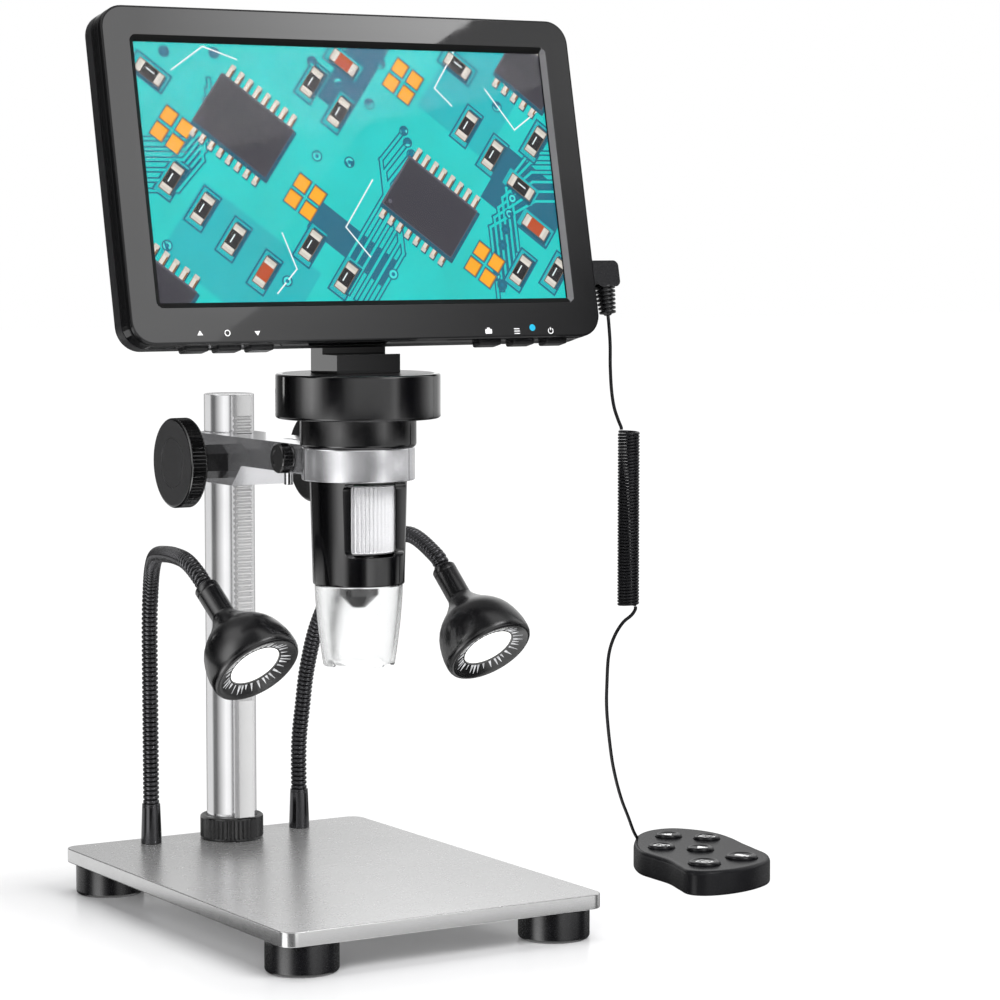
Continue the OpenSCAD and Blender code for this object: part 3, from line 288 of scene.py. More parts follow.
def piece(name, solid, materials, slot, body=None, stands_for=(), cuts=(), bevel=0.0, sharp=35):
    """A piece of the model: cut, its edges broken, its materials set, and riding on its body. slot is not used."""
    mesh = solid if isinstance(solid, bpy.types.Mesh) else solid.mesh(name)
    obj = added(name, mesh)
    for material in materials:
        mesh.materials.append(material)
    knives = []
    for k, cut in enumerate(cuts):
        knife = added(f"{name}_knife_{k}", cut.mesh("knife"))
        modifier = obj.modifiers.new("cut", "BOOLEAN")
        modifier.operation, modifier.solver, modifier.object = "DIFFERENCE", "EXACT", knife
        modifier.use_self = True
        knives.append(knife)
    if knives:
        applied(obj)
        for knife in knives:
            bpy.data.objects.remove(knife)
    if bevel:
        modifier = obj.modifiers.new("bevel", "BEVEL")
        modifier.width, modifier.segments, modifier.limit_method = bevel * MM, 2, "ANGLE"
        modifier.angle_limit = radians(sharp)
        applied(obj)
    shade(obj.data, sharp)
    obj.modifiers.new("even", "WEIGHTED_NORMAL").keep_sharp = True
    if body:
        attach(obj, body)
    if stands_for:
        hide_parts(*stands_for)
    return obj


def refined(node, bevel, materials, slot, body, sharp=32):
    """The CAD node's own shape with its edges broken."""
    work = bmesh.new()
    work.from_mesh(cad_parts[node].data)
    bmesh.ops.remove_doubles(work, verts=work.verts, dist=2e-6)
    bmesh.ops.dissolve_limit(work, angle_limit=radians(0.6), verts=work.verts, edges=work.edges)
    for face in work.faces:
        face.material_index = 0
    mesh = bpy.data.meshes.new(node + "_fine")
    work.to_mesh(mesh)
    work.free()
    mesh.update()
    return piece(node + "_fine", mesh, materials, slot, body, (node,), bevel=bevel, sharp=sharp)


def rounded(points, r, closed=True, steps=3, flat=12):
    """A flat outline with each corner sharper than flat, in degrees, replaced by a short curve."""
    out, n = [], len(points)
    for i, p in enumerate(points):
        p = Vector(p)
        if not closed and i in (0, n - 1):
            out.append(p)
            continue
        u, v = Vector(points[i - 1]) - p, Vector(points[(i + 1) % n]) - p
        d = min(r, u.length * 0.45, v.length * 0.45)
        if d < 1e-4 or degrees(u.angle(-v)) < flat:
            out.append(p)
            continue
        a, b = p + u.normalized() * d, p + v.normalized() * d
        for k in range(steps + 1):
            t = k / steps
            out.append(a * (1 - t) ** 2 + p * 2 * t * (1 - t) + b * t * t)
    return out


def lathe(profile, n=96, closed=False, ribs=0, depth=0.0, warp=None):
    """A turned form round z. A profile point is (r, z) or (r, z, how much the ribs cut it)."""
    verts, rings = [], []
    for p in profile:
        r, z, w = p[0], p[1], (p[2] if len(p) > 2 else 0)
        if r < 1e-6:
            rings.append([len(verts)])
            verts.append((0, 0, z))
            continue
        ring = []
        for k in range(n):
            a = 2 * pi * k / n
            rr = r - w * depth * (0.5 - 0.5 * cos(a * ribs)) if ribs else r
            v = (rr * cos(a), rr * sin(a), z)
            ring.append(len(verts))
            verts.append(warp(v, a) if warp else v)
        rings.append(ring)
    faces = []
    pairs = list(zip(rings, rings[1:])) + ([(rings[-1], rings[0])] if closed else [])
    for a, b in pairs:
        for k in range(n):
            k2 = (k + 1) % n
            if len(a) == 1 and len(b) == 1:
                break
            if len(a) == 1:
                faces.append([a[0], b[k], b[k2]])
            elif len(b) == 1:
                faces.append([a[k], b[0], a[k2]])
            else:
                faces.append([a[k], b[k], b[k2], a[k2]])
    return verts, faces


def rod(r, z0, z1, n):
    return lathe([(0, z0), (r, z0), (r, z1), (0, z1)], n)


def turned_piece(name, line, n, material, slot, body, stands_for=(), place=None, closed=False, ribs=0, depth=0.0,
                 warp=None, **more):
    """A piece that is one turned form."""
    solid = Solid().add(lathe(line, n, closed, ribs, depth, warp), place)
    return piece(name, solid, [material], slot, body, stands_for, **more)


def loft(rings, closed=False):
    """Rings of as many points each, joined one to the next. Open lofts get end faces."""
    n = len(rings[0])
    verts = [v for ring in rings for v in ring]
    faces = []
    count = len(rings) if closed else len(rings) - 1
    for i in range(count):
        a, b = i * n, ((i + 1) % len(rings)) * n
        faces += [[a + k, a + (k + 1) % n, b + (k + 1) % n, b + k] for k in range(n)]
    if not closed:
        faces += [list(range(n)), list(range(len(verts) - n, len(verts)))]
    return verts, faces


def rrect(w, h, r, n=6, x=0.0, y=0.0):
    """A rectangle with round corners, n + 1 points each."""
    out = []
    for cx, cy, a0 in ((1, 1, 0), (-1, 1, 90), (-1, -1, 180), (1, -1, 270)):
        for k in range(n + 1):
            a = radians(a0 + 90 * k / n)
            out.append(Vector((x + cx * (w / 2 - r) + r * cos(a), y + cy * (h / 2 - r) + r * sin(a))))
    return out


def moved_in(outline, d):
    """A closed outline moved inwards by d, with mitred corners. The outline runs counterclockwise."""
    n, out = len(outline), []
    for i, p in enumerate(outline):
        a, b = (p - outline[i - 1]), (outline[(i + 1) % n] - p)
        if a.length < 1e-9 or b.length < 1e-9:
            out.append(p.copy())
            continue
        na, nb = Vector((-a.y, a.x)).normalized(), Vector((-b.y, b.x)).normalized()
        out.append(p + (na + nb) * (d / max(0.4, 1 + na.dot(nb))))
    return out


def prism(outline, z0, z1, edge=0.3, edge_low=None, steps=3):
    """An outline in x and y raised from z0 to z1, with rounded edges above and below."""
    low = edge if edge_low is None else edge_low
    arcs = [pi / 2 * k / steps for k in range(steps + 1)]
    return stepped([Vector(p) for p in outline],
                   [(low * (1 - sin(a)), z0 + low * (1 - cos(a))) for a in arcs]
                   + [(edge * (1 - cos(a)), z1 - edge * (1 - sin(a))) for a in arcs])


def stepped(outline, steps):
    """An outline raised in steps. A step is (how far it is moved in, its height)."""
    return loft([[(p.x, p.y, z) for p in moved_in(outline, d)] for d, z in steps])


def raised(outline, *heights):
    """An outline raised straight up."""
    return loft([[(p[0], p[1], z) for p in outline] for z in heights])


def circle(r, n=48, x=0.0, y=0.0):
    return [Vector((x + r * cos(2 * pi * k / n), y + r * sin(2 * pi * k / n))) for k in range(n)]


def curve_through(points, n, loop=False):
    """Catmull-Rom, n steps between two points, as in the part's source."""
    p = [Vector(v) for v in points]
    m = len(p)
    if not loop:
        p = [2 * p[0] - p[1]] + p + [2 * p[-1] - p[-2]]
    out = []
    for i in range(m if loop else m - 1):
        a, b, c, d = (p[(i - 1) % m], p[i], p[(i + 1) % m], p[(i + 2) % m]) if loop else p[i:i + 4]
        for k in range(n):
            t = k / n
            out.append(0.5 * (2 * b + (c - a) * t + (2 * a - 5 * b + 4 * c - d) * t * t
                              + (3 * b - a - 3 * c + d) * t ** 3))
    return out if loop else out + [p[-2]]


def length_of(points):
    return sum((b - a).length for a, b in zip(points, points[1:]))


def evenly(points, step):
    """Points at equal distances along a fine line."""
    total = length_of(points)
    count = max(2, round(total / step))
    out, i, gone = [points[0]], 0, 0.0
    for k in range(1, count):
        want = total * k / count
        while gone + (points[i + 1] - points[i]).length < want:
            gone += (points[i + 1] - points[i]).length
            i += 1
        seg = points[i + 1] - points[i]
        out.append(points[i] + seg * ((want - gone) / seg.length))
    return out + [points[-1]]


def tube(points, radius, sides=16, start=Vector((1, 0, 0))):
    """A closed tube along points. radius is a number or a function of the distance gone."""
    rings, side, gone = [], start, 0.0
    for i, p in enumerate(points):
        along = (points[min(i + 1, len(points) - 1)] - points[max(i - 1, 0)]).normalized()
        side = (side - along * side.dot(along)).normalized()
        other = along.cross(side)
        if i:
            gone += (p - points[i - 1]).length
        r = radius(gone) if callable(radius) else radius
        rings.append([p + (side * cos(2 * pi * k / sides) + other * sin(2 * pi * k / sides)) * r
                      for k in range(sides)])
    return loft(rings)


# ---------- cords ----------

ROUTE_UPPER = [(97.3, -3.4, 191.5), (97.3, -4.2, 187.8), (97.3, -5.2, 180), (97.2, -5.5, 172), (98, -5.1, 164),
               (99.4, -4.6, 158), (101.4, -4.2, 153.4), (102.8, -4, 150.8), (102.9, -4, 149.9)]
ROUTE_LOWER = [(109.1, -4, 87.3), (109, -4, 86.2), (107.6, -3.6, 84.2), (104.6, -2.6, 81.6), (102.4, -0.6, 76.6),
               (102, 2.2, 70), (103.8, 6, 60.6), (107.4, 11.6, 48.4), (115.4, 21, 31.6), (122, 28, 21),
               (129.6, 35.4, 11), (136.4, 41, 2.8), (141.2, 44.6, -3.6), (144.2, 46.6, -6.8), (147.2, 48.6, -10)]
COIL_LOW, COIL_HIGH = 87.9, 149.2
COIL_TURNS = 55.5


def coil_line():
    out, steps = [], 20
    count = int(COIL_TURNS * steps)
    for k in range(count + 1):
        a = 2 * pi * k / steps
        end = min(k, count - k) / steps
        r = COIL_R - 0.25 * max(0, 1 - 2 * end)
        out.append(Vector((COIL_X + r * cos(a), COIL_Y + r * sin(a),
                           COIL_LOW + (COIL_HIGH - COIL_LOW) * k / count)))
    return out


upper_line = evenly(curve_through(ROUTE_UPPER, 12), 0.7)
lower_line = evenly(curve_through(ROUTE_LOWER, 12), 0.9)
helix = coil_line()
cord_upper = piece("upper_cord", Solid().add(tube(upper_line, CORD_D / 2, 14)), [cord_black], "cord_rubber",
                   None, ("cord_upper",), sharp=60)
cord_lower = piece("lower_cord", Solid().add(tube(lower_line, CORD_D / 2, 14, Vector((0, 1, 0)))), [cord_black],
                   "cord_rubber", None, ("cord_lower",), sharp=60)
coil = piece("curly_cord", Solid().add(tube(helix, COIL_WIRE / 2, 8)), [cord_black], "cord_rubber", "head",
             ("cord_coil",), sharp=70)


def plug_solid():
    body = rounded([(0, 3.9), (11.6, 3.9), (12.4, 3.1), (12.4, -3.1), (11.6, -3.9), (5.2, -3.9), (3.6, -2.6),
                    (0, -2.6)], 0.8)
    jack = ON_SCREEN @ T((CASE_W / 2, JACK_Y, JACK_Z))
    solid = Solid().add(prism(body, -3.1, 3.1, 0.7), jack @ T((0.4, 0, 0)) @ turn(90, "X"))
    neck = []
    for k in range(7):
        z, r = -1.45 * k, 3.7 - 0.12 * k
        neck += [(r - 0.9, z), (r - 0.05, z - 0.12), (r, z - 0.4), (r - 0.05, z - 0.75), (r - 0.9, z - 0.9)]
    neck += [(1.5, -9.8), (1.2, -10.2), (0.9, -10.3), (0, -10.3)]
    solid.add(lathe([(0, 1), (2.3, 1)] + neck, 32), jack @ T((8.8, 0, -4.0)))
    pin = [(0, 0), (1.2, 0), (1.2, -8), (0.7, -9.4), (1.2, -10.4), (0.8, -11.4), (0, -11.8)]
    solid.add(rod(2.5, 3, -0.3, 32), jack @ turn(90, "Y"))
    return solid.add(lathe(pin, 24), jack @ turn(90, "Y"), 1)


plug = piece("plug", plug_solid(), [satin_black, chrome], "cord_rubber", "screen", ("cord_plug",), sharp=40)

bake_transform(cord_upper)
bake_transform(cord_lower)


# ---------- stage ----------

def split_by_height(mesh, low, high, mark):
    """Faces whose centre lies between two heights, in mm, get another material."""
    for face in mesh.polygons:
        if low < face.center.z / MM < high:
            face.material_index = mark


plate_form = prism(rrect(PLATE_W, PLATE_D, PLATE_R, 8, 0, PLATE_Y), -PLATE_T, 0, 0.45, 0.35)
plate = piece("plate", Solid().add(plate_form), [lacquer, edge_metal], "plate_metal", "base", ("base_plate",))
split_by_height(plate.data, -PLATE_T + 0.2, -0.25, 1)

foot_line = rounded([(1.9, 5), (1.9, FOOT_H), (FOOT_D / 2, FOOT_H), (FOOT_D / 2, 0.8), (FOOT_D / 2 - 0.8, 0),
                     (4.2, 0), (4.2, 5)], 0.7)
feet = Solid()
for fx, fy in FEET:
    feet.add(lathe(foot_line, 72, closed=True), T((fx, fy, FLOOR)))
piece("rubber_feet", feet, [rubber], "rubber", "base", ("feet",))


def column_solid():
    r, half = COLUMN_D / 2, RACK_W / 2 + 0.9
    outline = []
    a0 = degrees(atan2(half, 7.6))
    for k in range(145):
        a = radians(-90 + a0 + (360 - 2 * a0) * k / 144)
        outline.append(Vector((r * cos(a), r * sin(a))))
    front = -RACK_ROOT + 0.4
    outline += [Vector(p) for p in ((-half, front), (-RACK_W / 2, front), (-RACK_W / 2, -RACK_SEAT),
                                    (RACK_W / 2, -RACK_SEAT), (RACK_W / 2, front), (half, front))]
    solid = Solid().add(prism(outline, RAIL_Z, COLUMN_H, 0.35, 0.05, 2), T((0, REACH, 0)))
    return solid.add(rod(r, 0, RAIL_Z, 145), T((0, REACH, 0)))


piece("column_bar", column_solid(), [polished], "column_metal", "base", ("column",), sharp=30)


def rack_solid():
    gap_top, flank = 1.67, 0.68
    first = ceil((50 - WORK_H) / PITCH)
    last = int((COLUMN_H - 8 - WORK_H) // PITCH)
    line = [(-RACK_SEAT + 0.02, RAIL_Z), (-RACK_SEAT + 0.02, COLUMN_H), (-RACK_FACE, COLUMN_H)]
    for k in range(last, first - 1, -1):
        z = WORK_H + k * PITCH
        line += [(-RACK_FACE, z + gap_top / 2), (-RACK_ROOT, z + gap_top / 2 - flank),
                 (-RACK_ROOT, z - gap_top / 2 + flank), (-RACK_FACE, z - gap_top / 2)]
    line.append((-RACK_FACE, RAIL_Z))
    line = rounded(line[::-1], 0.3)
    half = RACK_W / 2 - 0.04
    return Solid().add(raised(line, -half, half), T((0, REACH, 0)) @ turn(90, "Z") @ turn(90, "X"))


piece("rack_bar", rack_solid(), [rack_metal], "column_metal", "base", ("rack",), sharp=40)

collar_line = [(9.1, 0), (10.9, 0), (11.3, 0.4), (11.4, 0.9, 0), (11.4, 1.1, 1), (11.4, 7.5, 1), (11.4, 7.7, 0),
               (11.3, 8.2), (10.8, 8.6), (9.6, 8.6), (9.1, 8.3)]
turned_piece("collar", collar_line, 44 * 6, anodised, "black_metal", "base", ("column_collar",), T((0, REACH, 0)),
             True, 44, 0.55)

ferrule_line = rounded([(0, -8), (2.5, -8), (2.5, 0.01), (3.75, 0.01), (3.28, 13.2), (3.2, 13.3), (3.2, 13.5),
                        (3.28, 13.6), (3.2, 14.4), (2.6, 14.4), (2.6, 6), (0, 6)], 0.3, closed=False)
for side, x in (("left", -FERRULE_X), ("right", FERRULE_X)):
    turned_piece(f"ferrule_{side}_fine", ferrule_line, 48, gunmetal, "black_metal", "base", (f"ferrule_{side}",),
                 T((x, FERRULE_Y, 0)))


# ---------- carriage ----------

def carriage_cuts(ring_only=False):
    """The bores of the ring and of the column, the rail's groove and the saw cut with its pin's hole."""
    saw = Solid().add(raised([(-1, 14), (1, 14), (1, SLOT_L), (-1, SLOT_L)], 130, 150))
    if ring_only:
        return [saw]
    bore = Solid().add(rod(RING_R - 0.4, 120, 160, 96))
    column = Solid().add(rod(COLUMN_D / 2 + 0.05, 120, 160, 96), T((0, REACH, 0)))
    half = [(3.3, REACH - 12.5), (3.3, REACH - 11.05), (3.95, REACH - 11.05), (3.95, REACH - 2)]
    groove = Solid().add(prism([(-x, y) for x, y in half[::-1]] + half, 120, 160, 0.1))
    pin = Solid().add(rod(1.65, 130, 150, 32), T((0, SLOT_L, 0)))
    return [bore, column, groove, saw, pin]


def carriage_solid():
    top, low, block_low = WORK_H + 9.2, WORK_H - 0.8, WORK_H - 8.2
    rings = []
    for front, z in ((PINION_Y - 7.9, block_low), (PINION_Y - 15.3, low), (12, low), (12, top)):
        ring = [(-ARM_W / 2, front, z), (ARM_W / 2, front, z)]
        for k in range(49):
            a = pi * k / 48
            ring.append((ARM_W / 2 * cos(a), REACH + ARM_W / 2 * sin(a), z))
        rings.append(ring)
    return Solid().add(loft(rings))


piece("carriage_arm", carriage_solid(), [arm_metal], "arm_metal", "carriage", ("carriage",), cuts=carriage_cuts(),
      bevel=0.45, sharp=32)
ring_line = rounded([(RING_R - 2.6, 136.4), (RING_R, 136.4), (RING_R, SEAT_Z), (RING_R - 2.6, SEAT_Z)], 0.45)
turned_piece("carriage_ring", ring_line, 180, arm_metal, "arm_metal", "carriage", closed=True,
             cuts=carriage_cuts(True), sharp=32)
refined("slot_pin", 0.25, [chrome], "chrome", "carriage")
refined("shaft_bushes", 0.25, [satin_black], "black_metal", "carriage")

knob_line = [(0, -4.6), (2.1, -4.6), (3.4, -4.6), (3.8, -4.2), (3.8, 0), (14.9, 0), (15.5, 0.2), (15.8, 0.6, 0),
             (15.8, 0.8, 1), (15.8, 5.6, 1), (15.8, 5.8, 0), (15.5, 6.15), (15.0, 6.35), (14.6, 6.4), (8.95, 6.4),
             (8.78, 6.22), (8.62, 6.22), (8.45, 6.4), (0, 6.4)]
for side, s in (("left", -1), ("right", 1)):
    knob = Solid().add(lathe(knob_line, 70 * 5, False, 70, 0.6),
                       T((s * KNOB_X, PINION_Y, WORK_H)) @ turn(90 * s, "Y"))
    made = piece(f"knob_{side}_fine", knob, [anodised, knob_face], "black_metal", "pinion", (f"knob_{side}",))
    for face in made.data.polygons:
        across = hypot(face.center.y / MM - PINION_Y, face.center.z / MM - WORK_H)
        if abs(face.center.x) / MM > 29.9 and across < 15.2:        # the knob's outer face
            face.material_index = 1

clamp_line = [(0, -14.8), (2, -14.8), (2, 0), (4.5, 0), (4.95, 0.3), (5.1, 0.7, 0), (5.1, 0.9, 1), (5.1, 3.8, 1),
              (5.1, 4.0, 0), (4.95, 4.3), (4.6, 4.6), (3.1, 4.6), (2.95, 4.4), (0, 4.4)]
turned_piece("clamp_knob", clamp_line, 24 * 6, anodised, "black_metal", "clamp_screw", ("clamp_screw",),
             T(CLAMP_AT) @ turn(-90, "Y"), False, 24, 0.7)


# ---------- head ----------

def window_cut():
    """The wedge that opens the barrel in front of the focus wheel."""
    rings, corner, edge = [], 2.4, WINDOW_H / 2
    for r, half in ((11.5, 39), (13.6, 40), (15.4, 45.5), (17.2, 50)):
        w = radians(half) * r
        across = [w - corner + corner * sin(radians(t)) for t in range(90, -1, -15)]
        across += [(w - corner) * (1 - k / 6) for k in range(1, 6)]
        across = across + [0] + [-x for x in across[::-1]]
        tall = [edge - corner + (max(0, corner ** 2 - max(0, abs(x) - w + corner) ** 2)) ** 0.5 for x in across]
        points = list(zip(across, tall)) + [(x, -h) for x, h in list(zip(across, tall))[::-1]]
        rings.append([(r * sin(x / r), -r * cos(x / r), WINDOW_Z + edge + h) for x, h in points])
    verts, faces = loft(rings)
    n = len(rings[0])
    faces = faces[:-2]
    for base in (0, len(verts) - n):
        faces += [[base + k, base + k + 1, base + n - 2 - k, base + n - 1 - k] for k in range(n // 2 - 1)]
    return Solid().add((verts, faces))


barrel_line = rounded([(0, 103.4), (13.6, 103.4), (13.6, BARREL_Z), (15.4, BARREL_Z), (15.45, 102.6),
                       (16.3, 135.9), (16.3, 147.3), (15, 147.3), (15, 155.3), (12, 155.3), (12, 137.2),
                       (13.1, 136), (13.1, 111), (10, 110), (0, 110)], 0.9, closed=False, steps=4)
turned_piece("barrel_shell", barrel_line, 128, gloss_black, "head_plastic", "head", ("barrel",),
             cuts=[window_cut()], bevel=0.3, sharp=38)

wheel_line = [(9.2, 0), (11.6, 0), (12.2, 0.2), (12.6, 0.7, 0), (12.6, 1.0, 1), (12.6, 22.4, 1), (12.6, 22.7, 0),
              (12.2, 23.2), (11.6, 23.4), (9.2, 23.4)]
turned_piece("ribbed_wheel", wheel_line, 52 * 6, wheel_white, "wheel_plastic", "focus_wheel", ("focus_wheel",),
             T((0, 0, WHEEL_Z)), True, 52, 1.5, sharp=50)

seat_line = rounded([(15.02, SEAT_Z), (18.9, SEAT_Z), (19.5, SEAT_Z + 0.8), (19.5, DISC_Z - 0.3), (19.8, DISC_Z),
                     (27.0, DISC_Z), (27.65, DISC_Z + 0.6), (27.65, DISC_TOP - 1.6), (27.65, DISC_TOP - 0.5),
                     (27.1, DISC_TOP), (25.3, DISC_TOP), (25.3, DISC_Z + 2.4), (13, DISC_Z + 2.4),
                     (13, 155.4), (15.02, 155.4)], 0.6)
turned_piece("housing", seat_line, 160, gloss_black, "head_plastic", "head", ("head_housing",), closed=True)
lid_line = rounded([(0, 169.4), (25.2, 169.4), (25.2, 171.9), (24.6, 172.0), (0, 172.0)], 0.3, closed=False)
turned_piece("lid", lid_line, 128, satin_black, "head_plastic", "head", ("head_lid",))
refined("tilt_neck", 0.6, [case_black], "neck_plastic", "head")


def cap_wall(steps, inset):
    """The cap's curved wall, from its top down. steps are 14ths of its height."""
    return [(14.8 - 2.8 * (k / 14) ** 1.5 - inset, 101.0 - (101.0 - CAP_Z) * k / 14) for k in steps]


def notched(v, a):
    """The cap's lower edge is raised in four places."""
    x, y, z = v
    if z > CAP_Z + 1.2:
        return v
    near = min(abs((degrees(a) - 30 - 90 * k + 180) % 360 - 180) for k in range(4))
    lift = 0.8 * min(1, max(0, (17 - near) / 5))
    return x, y, z + lift


cap_line = [(13.45, 104.4), (13.45, 101.45), (14.2, 101.4), *cap_wall(range(14), 0), (12.05, CAP_Z + 0.35),
            (11.9, CAP_Z), (10.9, CAP_Z), (10.75, CAP_Z + 0.35), *cap_wall(range(13, -1, -1), 1.3), (12.3, 101.3),
            (12.3, 104.4)]
turned_piece("distance_cap", cap_line, 144, clear, "clear_plastic", "head", ("clear_cap",), closed=True,
             warp=notched, sharp=50)

nose_line = rounded([(0, 93.4), (2.3, 93.4), (6.65, 97.6), (6.65, 110.4), (9.1, 110.4), (9.1, 132.2), (0, 132.2)],
                    0.3, closed=False)
turned_piece("lens_nose", nose_line, 72, gloss_black, "head_plastic", "lens", ("lens_cell",))


# ---------- screen ----------

def in_screen(outline, depth):
    """An outline in x and z of the screen's frame, at a depth behind its front face."""
    return [(p.x, depth, p.y) for p in outline]


def case_ring(less, depth):
    return in_screen(rrect(CASE_W - 2 * less, CASE_H - 2 * less, max(0.6, CASE_R - less), 10), depth)


def view_ring(more, depth, r=0.6):
    return in_screen(rrect(VIEW_W + 2 * more, VIEW_H + 2 * more, r, 10, 0, VIEW_UP), depth)


bezel_rings = [case_ring(*p) for p in (
    (2.1, 5.0), (2.1, SEAM_Y), (0.25, SEAM_Y), (0, SEAM_Y - 0.25), (0, 3.1), (0.25, 2.85), (0.75, 2.75),
    (0.75, 1.5), (0.3, 1.4), (0.05, 1.2), (0, 0.8), (0.06, 0.4), (0.3, 0.12), (0.8, 0))]
bezel_rings += [view_ring(*p) for p in (
    (1.95, 0, 2.6), (1.8, 0.06, 2.5), (0.1, GLASS_Y - 0.08), (0.02, GLASS_Y), (0.02, GLASS_Y + 0.02))]
bezel_rings += [in_screen(rrect(VIEW_W + 11, VIEW_H + 14.2, 1, 10, 0, VIEW_UP), d) for d in (GLASS_Y + 0.02, 5.0)]


def key_cuts():
    solid = Solid()
    for x in KEYS.values():
        solid.add(raised(rrect(KEY_W + 0.5, KEY_D + 0.5, 0.8, 3, x, KEY_Y), -CASE_H / 2 - 1, -CASE_H / 2 + 2.4),
                  ON_SCREEN)
    return solid


bezel = piece("bezel", Solid().add(loft(bezel_rings, True), ON_SCREEN), [case_black, bevel_black, painted_lit_rim],
              "case_plastic", "screen", ("screen_bezel",), cuts=[key_cuts()], sharp=30)
to_screen = ON_SCREEN.inverted()
for face in bezel.data.polygons:
    spot = to_screen @ (face.center / MM)
    inside = abs(spot.x) < VIEW_W / 2 + 1.85 and abs(spot.z - VIEW_UP) < VIEW_H / 2 + 1.85
    if inside and 0.03 < spot.y < GLASS_Y + 0.1:
        # the recess's right wall takes the lighter grey, a painted highlight on that side; the rest stays dark
        face.material_index = 2 if spot.x > VIEW_W / 2 + 0.05 else 1

refined("screen_back", 0.35, [back_black], "back_plastic", "screen")
piece("front_pane", Solid().add(loft([in_screen(rrect(VIEW_W + 10.8, VIEW_H + 14, 1, 3, 0, VIEW_UP), d)
                                      for d in (GLASS_Y + 0.03, GLASS_Y + 0.6)]), ON_SCREEN),
      [front_glass], "screen_glass", "screen", ("screen_glass",))


# ---------- picture on the screen: a made-up circuit board ----------

def linear(r, g, b):
    """0 to 255 values as light."""
    return tuple(((c / 255 + 0.055) / 1.055) ** 2.4 if c > 10 else c / 255 / 12.92 for c in (r, g, b))


def on_view(outline):
    """The outline's part inside the picture area."""
    x, y = VIEW_W / 2, VIEW_H / 2
    for axis, limit, keep in ((0, x, -1), (0, -x, 1), (1, y, -1), (1, -y, 1)):
        out = []
        for i, p in enumerate(outline):
            q = outline[i - 1]
            fp, fq = (p[axis] - limit) * keep, (q[axis] - limit) * keep
            if (fp >= 0) != (fq >= 0):
                out.append(q + (p - q) * (fq / (fq - fp)))
            if fp >= 0:
                out.append(p)
        outline = out
        if len(outline) < 3:
            return None
    return outline


PAINTS = {name: linear(*light) for name, light in {
    "mask": (2, 208, 204), "mask_deep": (0, 184, 192), "groove": (4, 104, 132), "track": (64, 226, 222),
    "chip": (50, 48, 58), "chip_edge": (88, 86, 100), "leg": (226, 222, 212), "leg_dark": (140, 92, 40),
    "gold": (255, 176, 22), "gold_deep": (176, 98, 12), "tin": (210, 206, 196), "tin_dark": (112, 94, 76),
    "part": (24, 22, 24), "part_red": (188, 74, 26), "silk": (232, 246, 246), "hole": (0, 120, 152),
    "shadow": (2, 84, 108)}.items()}
paints = list(PAINTS)
ART_Y = 2.3                # the picture's lowest layer, behind the bezel's face


